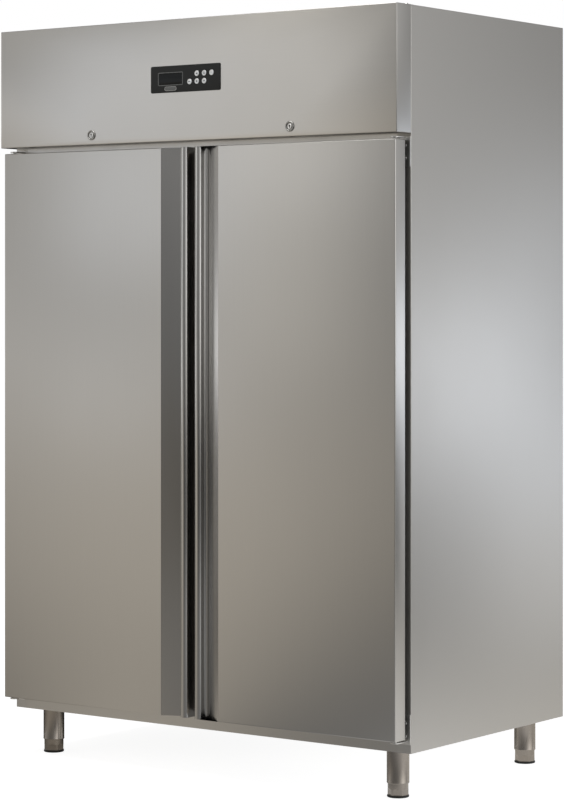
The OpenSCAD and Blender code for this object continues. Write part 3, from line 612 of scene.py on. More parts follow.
def handle_section(inset, depth):
    """The handle profile from above, as (distance from the centre line, depth), moved in by inset."""
    bar = (GRIP_IN_X + BAR_R, BAR_R)
    q = (GRIP_OUT_X - CHANNEL_R * sin(SLOPE) - bar[0], -CHANNEL_R * cos(SLOPE) - bar[1])
    along = -q[0] * cos(SLOPE) + q[1] * sin(SLOPE)
    reach = -along - sqrt(along ** 2 - q[0] ** 2 - q[1] ** 2 + (CHANNEL_R + BAR_R) ** 2)
    channel = (bar[0] + q[0] - reach * cos(SLOPE), bar[1] + q[1] + reach * sin(SLOPE))
    meet = atan2(channel[1] - bar[1], channel[0] - bar[0])
    end_x = GRIP_OUT_X
    soft = 1.2 * MM
    return (
        [(GRIP_IN_X + inset, depth - inset)]
        + arc(bar, BAR_R - inset, pi, 2 * pi + meet, 56)
        + arc(channel, CHANNEL_R + inset, pi + meet, pi / 2 - SLOPE, 28)[1:]
        + [
            (end_x - soft * cos(SLOPE), inset + soft * sin(SLOPE)),
            (end_x - soft * 0.25 - inset, inset + soft * 0.16),
            (end_x - inset, inset + soft),
            (end_x - inset, depth - inset),
        ]
    )


def make_handle(side, sign):
    """The full-height handle profile, its ends slightly rounded."""
    depth = high("door_right_handle").y - DOOR_Y
    edge = 0.8 * MM
    steps = 3
    rings = []
    for end_z, up, order in ((DOOR_Z, 1, range(steps + 1)), (DOOR_TOP_Z, -1, range(steps, -1, -1))):
        for k in order:
            a = pi / 2 * k / steps
            section = handle_section(edge * (1 - sin(a)), depth)
            z = end_z + up * edge * (1 - cos(a))
            rings.append([(x, DOOR_Y + d, z) for x, d in section])
    if sign < 0:
        rings = [mirrored(ring) for ring in rings]
    piece = loft(f"handle_{side}", rings)
    finish_piece(piece, f"door_{side}", "stainless_handle", [f"door_{side}_handle"], sharp=25)


def make_door_skin(side, sign):
    """Outer sheet of a door, folded back round its top, bottom and hinge edge."""
    lo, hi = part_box(f"door_{side}_skin")
    start = GRIP_OUT_X
    xs = sorted((sign * start, sign * DOOR_OUT_X))
    piece = folded_sheet(
        f"door_skin_{side}",
        (xs[0], lo.y, lo.z), (xs[1], hi.y, hi.z),
        [(1, 1), (0, -sign)], SKIN_BEND, SKIN_T,
    )
    bush_x, bush_y, _ = middle(f"door_{side}_bushes")
    cutters = [
        round_rod(BUSH_HOLE_R, z - PAST, z + PAST, 40, "Z", (bush_x, bush_y, 0))
        for z in (DOOR_Z, DOOR_TOP_Z)
    ]
    cam_y = high(f"lock_barrel_{side}").y - CAM_T / 2
    lock_x = abs(low("lock_barrel_right").x) + LOCK_INSET
    slot = sorted((sign * (lock_x - SLOT_NEAR), sign * (lock_x + SLOT_FAR)))
    cutters.append(plain_box(
        "cutter",
        (slot[0], cam_y - SLOT_HALF, DOOR_TOP_Z - PAST),
        (slot[1], cam_y + SLOT_HALF, DOOR_TOP_Z + PAST),
    ))
    cut(piece, cutters)
    finish_piece(piece, f"door_{side}", "stainless_outer", [f"door_{side}_skin"])


def make_door_liner(side):
    """Inner sheet of a door: a flat rim and a raised pan with soft corners."""
    lo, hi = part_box(f"door_{side}_liner")
    seal_lo, seal_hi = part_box(f"door_{side}_gasket")
    inset = 24 * MM
    rim_x, _, rim_z = middle(f"door_{side}_liner")
    pan_x, _, pan_z = middle(f"door_{side}_gasket")
    pan_w, pan_h = seal_hi.x - seal_lo.x - 2 * inset, seal_hi.z - seal_lo.z - 2 * inset
    soft = 2.5 * MM
    rim_y = lo.y + SKIN_T
    rim = round_rect(hi.x - lo.x, hi.z - lo.z, 0.6 * MM)
    rings = [[(rim_x + x, y, rim_z + z) for x, z in rim] for y in (lo.y, rim_y)]
    for k in range(4):
        a = pi / 2 * k / 3
        grow = soft * (1 - sin(a))
        rings.append([
            (pan_x + x, rim_y + soft * (1 - cos(a)), pan_z + z)
            for x, z in round_rect(pan_w + 2 * grow, pan_h + 2 * grow, 12 * MM + grow)
        ])
    for k in range(4):
        a = pi / 2 * k / 3
        shrink = soft * (1 - cos(a))
        rings.append([
            (pan_x + x, hi.y - soft * (1 - sin(a)), pan_z + z)
            for x, z in round_rect(pan_w - 2 * shrink, pan_h - 2 * shrink, 12 * MM - shrink)
        ])
    piece = loft(f"door_liner_{side}", rings)
    finish_piece(piece, f"door_{side}", "liner_steel", [f"door_{side}_liner"])


def make_gasket(side):
    """Bellows profile swept round the door: a base, two folds and a flat magnet face."""
    lo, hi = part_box(f"door_{side}_gasket")
    width = 18 * MM
    depth = hi.y - lo.y
    outline = [
        (0.10, 0.0), (0.06, 0.12), (0.20, 0.26), (0.20, 0.36), (0.02, 0.50), (0.0, 0.58),
        (0.12, 0.70), (0.04, 0.80), (0.04, 0.94), (0.10, 1.0),
        (0.90, 1.0), (0.96, 0.94), (0.96, 0.80), (0.88, 0.70), (1.0, 0.58), (0.98, 0.50),
        (0.80, 0.36), (0.80, 0.26), (0.94, 0.12), (0.90, 0.0),
    ]
    shape = bmesh.new()
    loops = []
    for u, v in outline:
        inset = u * width
        y = lo.y + v * depth
        corners = (
            (lo.x + inset, lo.z + inset), (hi.x - inset, lo.z + inset),
            (hi.x - inset, hi.z - inset), (lo.x + inset, hi.z - inset),
        )
        loops.append([shape.verts.new((x, y, z)) for x, z in corners])
    for a, b in zip(loops, loops[1:] + loops[:1]):
        for k in range(4):
            n = (k + 1) % 4
            shape.faces.new((a[k], a[n], b[n], b[k]))
    piece = from_bmesh(f"gasket_{side}", shape)
    finish_piece(piece, f"door_{side}", "gasket_rubber", [f"door_{side}_gasket"], sharp=50)


def make_doors():
    for side, sign in (("left", -1), ("right", 1)):
        make_handle(side, sign)
        make_door_skin(side, sign)
        make_gasket(side)
        make_door_liner(side)
        smooth_cad(f"door_{side}_foam", "foam", 0)
        smooth_cad(f"door_{side}_bushes", "nylon_white", 0.4 * MM)


# ---------------------------------------------------------------- cabinet sheets

def make_side_panels():
    lo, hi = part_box("side_panel_right")
    for side, sign in (("left", -1), ("right", 1)):
        xs = sorted((sign * lo.x, sign * hi.x))
        piece = folded_sheet(
            f"side_panel_{side}_sheet",
            (xs[0], lo.y, lo.z), (xs[1], hi.y, hi.z),
            [(0, -sign), (1, 1), (2, -1)], 2.0 * MM, SHEET,
        )
        finish_piece(piece, "cabinet", "stainless_outer", [f"side_panel_{side}"], "stainless_side")


def make_header():
    """The lift-up header: a pan with rounded folds, and cut-outs for its hardware and hinges."""
    lo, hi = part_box("header_panel")
    axis = Vector((0, BODY_Y - 4 * MM, TOP_Z + 1 * MM))
    knuckle_r = 3 * MM
    piece = folded_sheet(
        "header_sheet", (lo.x, lo.y, lo.z), (hi.x, hi.y, TOP_Z), [(1, 1)], 2.0 * MM, SHEET
    )
    cam_y = high("lock_barrel_right").y - CAM_T / 2
    cutters = [plain_box(
        "cutter",
        (lo.x + 2.2 * MM, axis.y - knuckle_r - 0.6 * MM, TOP_Z - 3 * MM),
        (hi.x - 2.2 * MM, hi.y + 5 * MM, TOP_Z + 5 * MM),
    )]
    for sign in (-1, 1):
        lock = lock_place(sign)
        place = (lock.x, HEADER_Y, lock.z)
        cutters.append(round_rod(9.7 * MM, -9 * MM, 9 * MM, 48, "Y", place))
        xs = sorted((lock.x - sign * 10 * MM, lock.x + sign * 56 * MM))
        cutters.append(plain_box(
            "cutter", (xs[0], cam_y - 6 * MM, lo.z - 5 * MM), (xs[1], cam_y + 6 * MM, lo.z + 5 * MM)
        ))
    bezel_lo, bezel_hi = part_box("control_bezel")
    step = 3.8 * MM
    cutters.append(plain_box(
        "cutter",
        (bezel_lo.x + step, HEADER_Y - 5 * MM, bezel_lo.z + step),
        (bezel_hi.x - step, HEADER_Y + 5 * MM, bezel_hi.z - step),
    ))
    cut(piece, cutters)
    shape = bmesh.new()
    shape.from_mesh(piece.data)
    for sign in (-1, 1):
        hinge_x = sign * (SIDE_X - HINGE_INSET)
        half = 6 * MM
        turn = Matrix.Translation((hinge_x - half, axis.y, axis.z)) @ Matrix.Rotation(radians(90), 4, "Y")
        add_revolved(shape, [
            (1.51 * MM, 0), (2.7 * MM, 0), (knuckle_r, 0.3 * MM), (knuckle_r, 11.7 * MM),
            (2.7 * MM, 12 * MM), (1.51 * MM, 12 * MM), (1.51 * MM, 0),
        ], 32, turn)
        add_box(
            shape, (hinge_x - half, axis.y - knuckle_r - 0.8 * MM, TOP_Z - SHEET),
            (hinge_x + half, axis.y - 1.6 * MM, TOP_Z),
        )
    shape.to_mesh(piece.data)
    shape.free()
    finish_piece(piece, "header", "stainless_outer", ["header_panel"], "stainless_header")


# ---------------------------------------------------------------- locks and controller

def lock_place(sign):
    """Where a lock's axis crosses the header's front."""
    lo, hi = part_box("lock_bodies")
    return Vector((sign * (hi.x - 14 * MM), HEADER_Y, (lo.z + hi.z) / 2))


def make_locks():
    front = low("lock_bodies").y
    back = high("lock_bodies").y
    shape = bmesh.new()
    for sign in (-1, 1):
        place = lock_place(sign)
        turn = facing_back((place.x, front, place.z))
        profile = [
            (7.0, 24), (7.0, 2.7), (9.4, 2.7), (9.9, 1.2), (10.5, 0.3), (11.3, 0.0), (12.2, 0.0),
            (13.0, 0.3), (13.7, 1.1), (14.0, 2.0),
            (14.0, 3.0), (9.5, 3.0), (9.5, 24), (7.0, 24),
        ]
        deep = (back - front) / MM
        add_revolved(shape, [(r * MM, min(h, deep) * MM) for r, h in profile], 72, turn)
    # The housings take the dark copy of the lock steel: painted shade on the lock roses
    finish_piece(
        from_bmesh("lock_housings", shape), "header", "lock_chrome", ["lock_bodies"], "lock_rose", 40
    )
    for side, sign in (("left", -1), ("right", 1)):
        lo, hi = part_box(f"lock_barrel_{side}")
        place = lock_place(sign)
        deep = (hi.y - lo.y) / MM
        barrel = revolved(f"lock_barrel_{side}_turned", mm([
            (0, 0.25), (4.6, 0.25), (5.0, 0.0), (6.3, 0.0), (6.8, 0.4), (6.93, 0.9),
            (6.93, deep), (0, deep),
        ]), 64, "Y", (place.x, lo.y, place.z))
        # The keyway is a little wider than the near-black block that fills it, painted shade for the inside
        # of the keyhole
        keyhole_place = (place.x, lo.y, place.z + 2.2 * MM)
        keyhole = round_rod(2.3 * MM, -2 * MM, 6 * MM, 24, "Y", keyhole_place)
        slit = plain_box(
            "cutter",
            (place.x - 1.35 * MM, lo.y - 2 * MM, place.z - 4.8 * MM),
            (place.x + 1.35 * MM, lo.y + 6 * MM, place.z + 3.5 * MM),
        )
        cut(barrel, [keyhole, slit])
        reach = abs(hi.x - place.x) if sign > 0 else abs(lo.x - place.x)
        half = 7 * MM
        cam = []
        outline = [(half * cos(a), half * sin(a)) for a in [pi / 2 + pi * k / 16 for k in range(17)]]
        outline += [
            (reach - 3 * MM, -half), (reach - 1 * MM, -half + 1 * MM), (reach, -half + 3 * MM),
            (reach, half - 3 * MM), (reach - 1 * MM, half - 1 * MM), (reach - 3 * MM, half),
        ]
        for inset, y in ((0.3 * MM, 0), (0, 0.3 * MM), (0, CAM_T - 0.3 * MM), (0.3 * MM, CAM_T)):
            cam.append([
                (place.x + sign * x, hi.y - CAM_T + y, place.z + z * (1 - inset / half)) for x, z in outline
            ])
        piece = join_meshes(f"lock_turn_{side}", [barrel, loft("cam", cam)])
        finish_piece(piece, f"lock_{side}", "lock_chrome", [f"lock_barrel_{side}"])
        # Painted shade: a near-black block inside each keyhole
        keyway = join_meshes(f"lock_keyhole_shade_{side}", [
            round_rod(2.25 * MM, 0.7 * MM, 5.9 * MM, 24, "Y", keyhole_place),
            plain_box(
                "keyhole_shade_fill", (place.x - 1.3 * MM, lo.y + 0.7 * MM, place.z - 4.75 * MM),
                (place.x + 1.3 * MM, lo.y + 5.9 * MM, place.z + 3.4 * MM),
            ),
        ])
        finish_piece(keyway, f"lock_{side}", "lock_chrome", material="keyway_dark")


def framed(name, centre, width, height, radius, line, back_y, front_y):
    """A thin raised outline on the face of the controller."""
    outer = round_rect(width, height, radius)
    inner = round_rect(width - 2 * line, height - 2 * line, max(radius - line, 0.2 * MM))
    shape = bmesh.new()
    rows = []
    for points, y in ((outer, back_y), (outer, front_y), (inner, front_y), (inner, back_y)):
        rows.append([shape.verts.new((centre[0] + x, y, centre[1] + z)) for x, z in points])
    for a, b in zip(rows, rows[1:] + rows[:1]):
        for k in range(len(outer)):
            n = (k + 1) % len(outer)
            shape.faces.new((a[k], a[n], b[n], b[k]))
    return from_bmesh(name, shape)


def make_symbol(k, centre, y):
    """A small generic mark on a button: bars only."""
    t = 0.22 * MM
    shape = bmesh.new()

    def bar(length, width, angle, across=0.0, along=0.0):
        turn = (
            Matrix.Translation((centre[0], y, centre[1]))
            @ Matrix.Rotation(radians(angle), 4, "Y")
            @ Matrix.Translation((across, 0, along))
        )
        add_box(shape, (-length / 2, -t, -width / 2), (length / 2, t, width / 2), turn)

    if k == 1:
        bar(5.0 * MM, 2.0 * MM, -38)
        bar(2.2 * MM, 2.2 * MM, 45, 2.2 * MM)
    elif k == 2:
        for side in (-1, 1):
            bar(6.0 * MM, 0.9 * MM, 90, 0, side * 1.6 * MM)
            bar(3.2 * MM, 0.9 * MM, 0, 0, side * 2.6 * MM)
    elif k == 3:
        for side in (-1, 0, 1):
            bar(4.6 * MM, 0.6 * MM, 0, 0, side * 1.7 * MM)
    elif k == 4:
        bar(6.4 * MM, 1.3 * MM, 0)
        bar(3.2 * MM, 1.1 * MM, 45, -1.8 * MM, -1.1 * MM)
        bar(3.2 * MM, 1.1 * MM, -45, -1.8 * MM, 1.1 * MM)
    elif k == 5:
        for angle in (0, 60, 120):
            bar(6.6 * MM, 0.95 * MM, angle)
    else:
        bar(3.6 * MM, 3.6 * MM, 45)
        bar(7.0 * MM, 0.8 * MM, 90)
    return from_bmesh(f"button_symbol_{k}", shape)


def make_controller():
    lo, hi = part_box("control_bezel")
    lens_lo, lens_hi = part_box("display_lens")
    centre = ((lo.x + hi.x) / 2, (lo.z + hi.z) / 2)
    width, height = hi.x - lo.x, hi.z - lo.z
    bezel = plate(
        "bezel", lambda inset: round_rect(width - 2 * inset, height - 2 * inset, 4.5 * MM - inset),
        HEADER_Y - 0.02 * MM, lo.y, 0.9 * MM, *centre,
    )
    cutters = [plain_box(
        "cutter", (lens_lo.x - 0.2 * MM, lo.y - 5 * MM, lens_lo.z - 0.2 * MM),
        (lens_hi.x + 0.2 * MM, hi.y + 9 * MM, lens_hi.z + 0.2 * MM),
    )]
    for k in range(1, 7):
        x, _, z = middle(f"button_{k}")
        cutters.append(round_rod(7.7 * MM, -9 * MM, 9 * MM, 40, "Y", (x, HEADER_Y, z)))
    cut(bezel, cutters)
    finish_piece(bezel, "header", "bezel_black", ["control_bezel"])
    lens_centre = ((lens_lo.x + lens_hi.x) / 2, (lens_lo.z + lens_hi.z) / 2)
    lens = plate(
        "lens",
        lambda inset: round_rect(
            lens_hi.x - lens_lo.x - 2 * inset, lens_hi.z - lens_lo.z - 2 * inset, 1.2 * MM
        ),
        lens_hi.y, lens_lo.y, 0.3 * MM, *lens_centre,
    )
    finish_piece(lens, "header", "display_dark", ["display_lens"])
    outline = framed(
        "display_outline", lens_centre, 85.5 * MM, 36.0 * MM, 3.0 * MM, 2.2 * MM,
        lo.y + 0.3 * MM, lo.y - 0.25 * MM,
    )
    finish_piece(outline, "header", "bezel_black", material="outline_grey")
    badge_centre = (lens_centre[0], lens_centre[1] - 26.4 * MM)
    badge_rim = framed(
        "badge_rim", badge_centre, 41 * MM, 11.6 * MM, 5.7 * MM, 1.1 * MM, lo.y + 0.3 * MM, lo.y - 0.3 * MM
    )
    finish_piece(badge_rim, "header", "bezel_black", material="outline_light")
    badge = plate(
        "badge_face",
        lambda inset: round_rect(39.5 * MM - 2 * inset, 10.1 * MM - 2 * inset, 5.0 * MM - inset),
        lo.y + 0.3 * MM, lo.y - 0.15 * MM, 0.2 * MM, *badge_centre,
    )
    finish_piece(badge, "header", "bezel_black", material="outline_grey")
    for k in range(1, 7):
        b_lo, b_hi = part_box(f"button_{k}")
        x, _, z = middle(f"button_{k}")
        deep = (b_hi.y - b_lo.y) / MM
        button = revolved(f"button_cap_{k}", mm([
            (0, 0.42), (3.0, 0.40), (5.2, 0.30), (6.0, 0.10), (6.5, 0.0), (7.1, 0.12), (7.42, 0.5),
            (7.5, 1.1), (7.5, deep - 4.2), (8.5, deep - 4.2), (8.5, deep - 3.0), (3.0, deep - 3.0),
            (3.0, deep), (0, deep),
        ]), 48, "Y", (x, b_lo.y, z))
        finish_piece(button, f"button_{k}", "button_silver", [f"button_{k}"])
        symbol = make_symbol(k, (x, z), b_lo.y + 0.32 * MM)
        ink = "symbol_pale" if k == 3 else "symbol_ink"
        finish_piece(symbol, f"button_{k}", "button_silver", material=ink)
    lo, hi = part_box("control_board")
    case = soft_box("control_case", lo, hi, 2 * MM)
    parts = [case]
    for k in range(5):
        x = lo.x + 24 * MM + k * 34 * MM
        parts.append(soft_box(
            "connector",
            (x, hi.y - 1 * MM, lo.z + 6 * MM), (x + 24 * MM, hi.y + 7 * MM, lo.z + 16 * MM),
            0.6 * MM,
        ))
    finish_piece(join_meshes("control_case", parts), "header", "box_grey", ["control_board"])


# ---------------------------------------------------------------- legs and feet

def make_legs():
    lo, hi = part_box("legs")
    shape = bmesh.new()
    flange = 100 * MM
    for x, y in near_corners(lo, hi, flange / 2):
        add_revolved(shape, [(r * MM, lo.z + h * MM) for r, h in [
            (27.4, 0.6), (28.4, 0.0), (29.4, 0.3), (30.0, 1.4), (30.0, 2.4), (29.75, 3.2),
            (29.75, 86.0), (30.0, 88.0), (30.6, 90.2), (27.4, 90.2), (27.4, 0.6),
        ]], 72, Matrix.Translation((x, y, 0)))
        rows = []
        for inset, z in ((0.6, hi.z - 3 * MM), (0, hi.z - 2.4 * MM), (0, hi.z - 0.6 * MM), (0.6, hi.z)):
            points = round_rect(flange - 2 * inset * MM, flange - 2 * inset * MM, 6 * MM)
            rows.append([(x + u, y + v, z) for u, v in points])
        add_loft(shape, rows)
    # The leg tubes take the darkened brown steel, a painted reflection of a dark room
    finish_piece(from_bmesh("leg_tubes", shape), "cabinet", "stainless_leg", ["legs"])


def make_foot(node):
    """A turned foot with six flats on its lower part, and a rubber pad under it."""
    flat = 24.9 * MM
    flats_from = 7.25
    steps = 96
    x, y, _ = middle(node)
    z0 = low(node).z
    # Height, radius, and how far the flats ease out towards the round
    levels = [
        (6.0, 25.5, 0), (6.0, 26.8, 0), (6.6, 27.35, 0), (7.2, 27.35, 0), (7.3, 27.3, 0),
        (19, 27.3, 0), (20, 27.3, 0.35), (21, 27.3, 0.8), (22, 27.3, 1.4),
        (23, 27.3, 2.2), (24, 27.3, 3.2), (30, 27.3, 3.2), (72.8, 27.3, 3.2), (74.0, 26.2, 3.2),
    ]
    rows = []
    for z, r, ease in levels:
        ring = []
        for k in range(steps):
            a = 2 * pi * k / steps
            off = (a + pi / 6) % (pi / 3) - pi / 6
            limit = flat / cos(off) + ease * MM if z > flats_from else 1
            reach = min(r * MM, limit)
            ring.append((x + reach * cos(a), y + reach * sin(a), z0 + z * MM))
        rows.append(ring)
    body = loft(f"{node}_turned", rows)
    # The foot takes the darkened brown steel, a painted reflection of a dark room
    finish_piece(body, node, "foot_steel", [node], sharp=24)
    pad = revolved(f"{node}_pad", [(r * MM, z0 + h * MM) for r, h in [
        (0, 0), (26.6, 0), (27.8, 0.5), (28.8, 1.6), (29.0, 2.6), (28.8, 4.2), (28.2, 5.4),
        (27.2, 6.0), (0, 6.0),
    ]], 72, "Z", (x, y, 0))
    finish_piece(pad, node, "foot_steel", material="grommet_rubber")


def make_feet():
    for end in ("front", "back"):
        for side in ("left", "right"):
            make_foot(f"foot_{end}_{side}")


# ---------------------------------------------------------------- screws

def make_screws():
    """Cross-head screws on the hinge brackets and on the header hinge leaves."""
    head = revolved("screw", mm([
        (0, 0), (1.6, 0.02), (3.0, 0.25), (4.0, 0.8), (4.5, 1.5), (4.6, 2.2),
        (2.5, 2.2), (2.5, 6.0), (0, 6.0),
    ]), 40)
    arms = [
        plain_box("cutter", (-2.3 * MM, -0.45 * MM, -1 * MM), (2.3 * MM, 0.45 * MM, 1.2 * MM)),
        plain_box("cutter", (-0.45 * MM, -2.3 * MM, -1 * MM), (0.45 * MM, 2.3 * MM, 1.2 * MM)),
    ]
    cut(head, arms)
    shape = bmesh.new()
    front = BODY_Y - 3 * MM - 2.2 * MM
    low_z = DOOR_Z - 13 * MM
    high_z = DOOR_TOP_Z + 7 * MM
    levels = (low_z + 22 * MM, low_z + 55 * MM, high_z - 22 * MM, high_z - 55 * MM)
    for sign in (-1, 1):
        for n, z in enumerate(levels):
            spin = Matrix.Rotation(radians(20 + 37 * n), 4, "Z")
            turn = facing_back((sign * (SIDE_X - 16 * MM), front, z))
            add_copy(shape, head.data, turn @ spin)
        for aside in (-8, 8):
            turn = (
                Matrix.Translation((
                    sign * (SIDE_X - HINGE_INSET) + aside * MM, BODY_Y + 15 * MM, high("screws").z
                ))
                @ Matrix.Rotation(radians(180), 4, "X")
                @ Matrix.Scale(0.609, 4)
            )
            add_copy(shape, head.data, turn)
    bpy.data.objects.remove(head)
    piece = from_bmesh("cross_head_screws", shape)
    finish_piece(piece, "cabinet", "screw_steel", ["screws"])


# ---------------------------------------------------------------- shelves

def make_shelves():
    """Welded wire shelves: a round rod rim, close wires on top and two cross rods below."""
    lo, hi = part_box("shelves")
    rim_r, wire_r = 4 * MM, 2 * MM
    inner = 42.1 * MM
    shape = bmesh.new()
    count = 3
    step = (hi.z - lo.z - 2 * rim_r) / (count - 1)
    for sign in (-1, 1):
        xs = sorted((sign * inner, sign * hi.x))
        for level in range(count):
            z = lo.z + rim_r + step * level
            x0, x1, y0, y1 = xs[0] + rim_r, xs[1] - rim_r, lo.y + rim_r, hi.y - rim_r
            add_sweep(shape, [(x0, y0, z), (x1, y0, z), (x1, y1, z), (x0, y1, z)], rim_r, 14, 9 * MM, True)
            top = z + rim_r - wire_r
            n = int((x1 - x0) / (27 * MM))
            for k in range(1, n + 1):
                x = x0 + (x1 - x0) * k / (n + 1)
                add_sweep(shape, [(x, y0, top), (x, y1, top)], wire_r, 8)
            for k in (1, 2):
                y = y0 + (y1 - y0) * k / 3
                under = top - 2 * wire_r + 0.4 * MM
                add_sweep(shape, [(x0, y, under), (x1, y, under)], wire_r, 8)
    finish_piece(from_bmesh("wire_shelves", shape), "cabinet", "shelf_coating", ["shelves"], sharp=50)


# ---------------------------------------------------------------- refrigeration

def make_coil(name, node, material, pitch, tube_r, rows, columns):
    """Thin fins with tubes through them, end plates and return bends."""
    lo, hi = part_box(node)
    shape = bmesh.new()
    end = 10 * MM
    x0, x1 = lo.x + end, hi.x - end
    n = int((x1 - x0) / pitch)
    for k in range(n + 1):
        x = x0 + (x1 - x0) * k / n
        add_box(shape, (x - 0.15 * MM, lo.y, lo.z), (x + 0.15 * MM, hi.y, hi.z))
    for x in (x0, x1):
        add_box(shape, (x - 0.8 * MM, lo.y, lo.z), (x + 0.8 * MM, hi.y, hi.z))
    for row in range(rows):
        y = lo.y + (hi.y - lo.y) * (row + 0.5) / rows
        zs = [lo.z + (hi.z - lo.z) * (c + 0.5) / columns for c in range(columns)]
        for c, z in enumerate(zs):
            add_sweep(shape, [(x0, y, z), (x1, y, z)], tube_r, 8)
        for c in range(columns - 1):
            x_from, x_to = (x1, hi.x - tube_r) if c % 2 == 0 else (x0, lo.x + tube_r)
            add_sweep(shape, [
                (x_from, y, zs[c]), (x_to, y, zs[c]), (x_to, y, zs[c + 1]), (x_from, y, zs[c + 1])
            ], tube_r, 10, 6 * MM)
    finish_piece(from_bmesh(name, shape), "cabinet", material, [node], material)


def make_compressor():
    lo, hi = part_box("compressor")
    base = low("compressor").z
    x, y = hi.x - 95 * MM, (lo.y + hi.y) / 2
    r = 80 * MM
    shape = bmesh.new()
    shell_z = base + 3 * MM
    tall = hi.z - shell_z
    seam_z = tall * 0.52
    dome = 45 * MM
    profile = [(0, shell_z), (r * 0.9, shell_z), (r * 0.97, shell_z + 4 * MM), (r * 0.985, shell_z + 10 * MM)]
    seam = ((0.985, -4), (1, -2), (1, 2), (0.97, 4))
    profile += [(r * part, shell_z + seam_z + h * MM) for part, h in seam]
    profile += [
        (r * 0.97 * cos(radians(a)), shell_z + tall - dome + dome * sin(radians(a))) for a in range(0, 91, 6)
    ]
    profile[-1] = (0, hi.z)
    add_revolved(shape, profile, 96, Matrix.Translation((x, y, 0)))
    half = 95 * MM
    rows = []
    for inset, z in ((0.8, 0), (0, 0.8), (0, 2.2), (0.8, 3.0)):
        points = round_rect(2 * half - 2 * inset * MM, 2 * half - 2 * inset * MM, 22 * MM)
        rows.append([(x + u, y + v, base + z * MM) for u, v in points])
    add_loft(shape, rows)
    body = from_bmesh("compressor_shell", shape)
    box_z = base + 45 * MM
    cover = soft_box(
        "cover", (lo.x, y - 25 * MM, box_z), (lo.x + 42 * MM, y + 25 * MM, box_z + 60 * MM), 5 * MM, 4
    )
    clip = soft_box(
        "clip", (lo.x, y - 4 * MM, box_z + 3 * MM), (lo.x + 40 * MM, y + 4 * MM, box_z + 62 * MM), 1 * MM
    )
    nuts = []
    for sx in (-1, 1):
        for sy in (-1, 1):
            nuts.append(revolved("nut", mm([
                (0, 0), (11, 0), (11, 1.2), (6.5, 1.4), (6.5, 6), (5.5, 7), (3.2, 7), (3.2, 11), (0, 11),
            ]), 6, "Z", (x + sx * 79 * MM, y + sy * 79 * MM, base + 3 * MM)))
    piece = join_meshes("compressor_shell", [body, cover, clip] + nuts)
    finish_piece(piece, "cabinet", "compressor_black", ["compressor"])
    lo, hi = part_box("compressor_grommets")
    shape = bmesh.new()
    tall = hi.z - lo.z
    for x, y in near_corners(lo, hi, 12 * MM):
        add_revolved(shape, [(r * MM, lo.z + h * tall) for r, h in [
            (0, 0), (11.4, 0), (12, 0.1), (12, 0.25), (9.5, 0.33), (9.5, 0.42), (12, 0.5), (12, 0.66),
            (9.5, 0.74), (9.5, 0.84), (11, 0.9), (10.6, 1.0), (0, 1.0),
        ]], 32, Matrix.Translation((x, y, 0)))
    finish_piece(from_bmesh("grommets", shape), "cabinet", "grommet_rubber", ["compressor_grommets"])


def make_fan(name, node, hub_r, blades):
    """A moulded fan: a domed hub, and blades that twist from root to tip."""
    lo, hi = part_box(node)
    centre = Vector(middle(node))
    r = (hi.x - lo.x) / 2
    thick = hi.y - lo.y
    shape = bmesh.new()
    turn = facing_back((centre.x, lo.y, centre.z))
    add_revolved(shape, [
        (0, 0), (hub_r * 0.55, 0), (hub_r * 0.85, thick * 0.06), (hub_r, thick * 0.2), (hub_r, thick),
        (hub_r * 0.86, thick), (hub_r * 0.86, thick * 0.3), (3.6 * MM, thick * 0.3), (3.6 * MM, thick),
        (3.02 * MM, thick), (3.02 * MM, thick * 0.2), (0, thick * 0.2),
    ], 64, turn)
    spans, chords = 10, 8
    for b in range(blades):
        start = 2 * pi * b / blades
        for face in (-1, 1):
            grid = []
            for i in range(spans + 1):
                u = i / spans
                radius = hub_r * 0.97 + (r * 0.995 - hub_r * 0.97) * u
                width = radians(58 - 12 * u) * (1 - 0.22 * max(0, u - 0.8) / 0.2)
                rise = (0.80 - 0.24 * u) * thick
                row = []
                for j in range(chords + 1):
                    v = j / chords - 0.5
                    a = start + width * v + radians(16) * u
                    edge = 0.8 * MM * (1 - (2 * abs(v)) ** 3)
                    y = centre.y + rise * v + thick * 0.1 * (0.25 - v * v) + face * edge
                    row.append(shape.verts.new((centre.x + radius * cos(a), y, centre.z + radius * sin(a))))
                grid.append(row)
            for i in range(spans):
                for j in range(chords):
                    shape.faces.new((grid[i][j], grid[i + 1][j], grid[i + 1][j + 1], grid[i][j + 1]))
    bmesh.ops.remove_doubles(shape, verts=shape.verts[:], dist=1e-6)
    finish_piece(from_bmesh(name, shape), node, "fan_plastic", [node], sharp=50)


def make_motor(name, node, body_r, body_l):
    """A round fan motor with end bells, ribs and a post."""
    lo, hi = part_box(node)
    x = (lo.x + hi.x) / 2
    axis_z = hi.z - body_r
    start = hi.y - body_l
    shape = bmesh.new()
    turn = facing_back((x, start, axis_z))
    add_revolved(shape, [
        (0, 0), (body_r * 0.3, 0), (body_r * 0.34, body_l * 0.04), (body_r * 0.82, body_l * 0.06),
        (body_r * 0.94, body_l * 0.12), (body_r * 0.95, body_l * 0.3), (body_r, body_l * 0.32),
        (body_r, body_l * 0.68), (body_r * 0.95, body_l * 0.7), (body_r * 0.94, body_l * 0.9),
        (body_r * 0.82, body_l), (0, body_l),
    ], 64, turn)
    add_sweep(shape, [(x, lo.y, axis_z), (x, start + 1 * MM, axis_z)], 3 * MM, 20)
    ribs = 18
    for k in range(ribs):
        a = 2 * pi * k / ribs
        spin = turn @ Matrix.Rotation(a, 4, "Z")
        add_box(
            shape, (body_r * 0.93, -0.7 * MM, body_l * 0.34), (body_r * 0.999, 0.7 * MM, body_l * 0.66), spin
        )
    add_box(shape, (x - 14 * MM, hi.y - 6 * MM, lo.z), (x + 14 * MM, hi.y, axis_z))
    finish_piece(from_bmesh(name, shape), "cabinet", "motor_grey", [node])


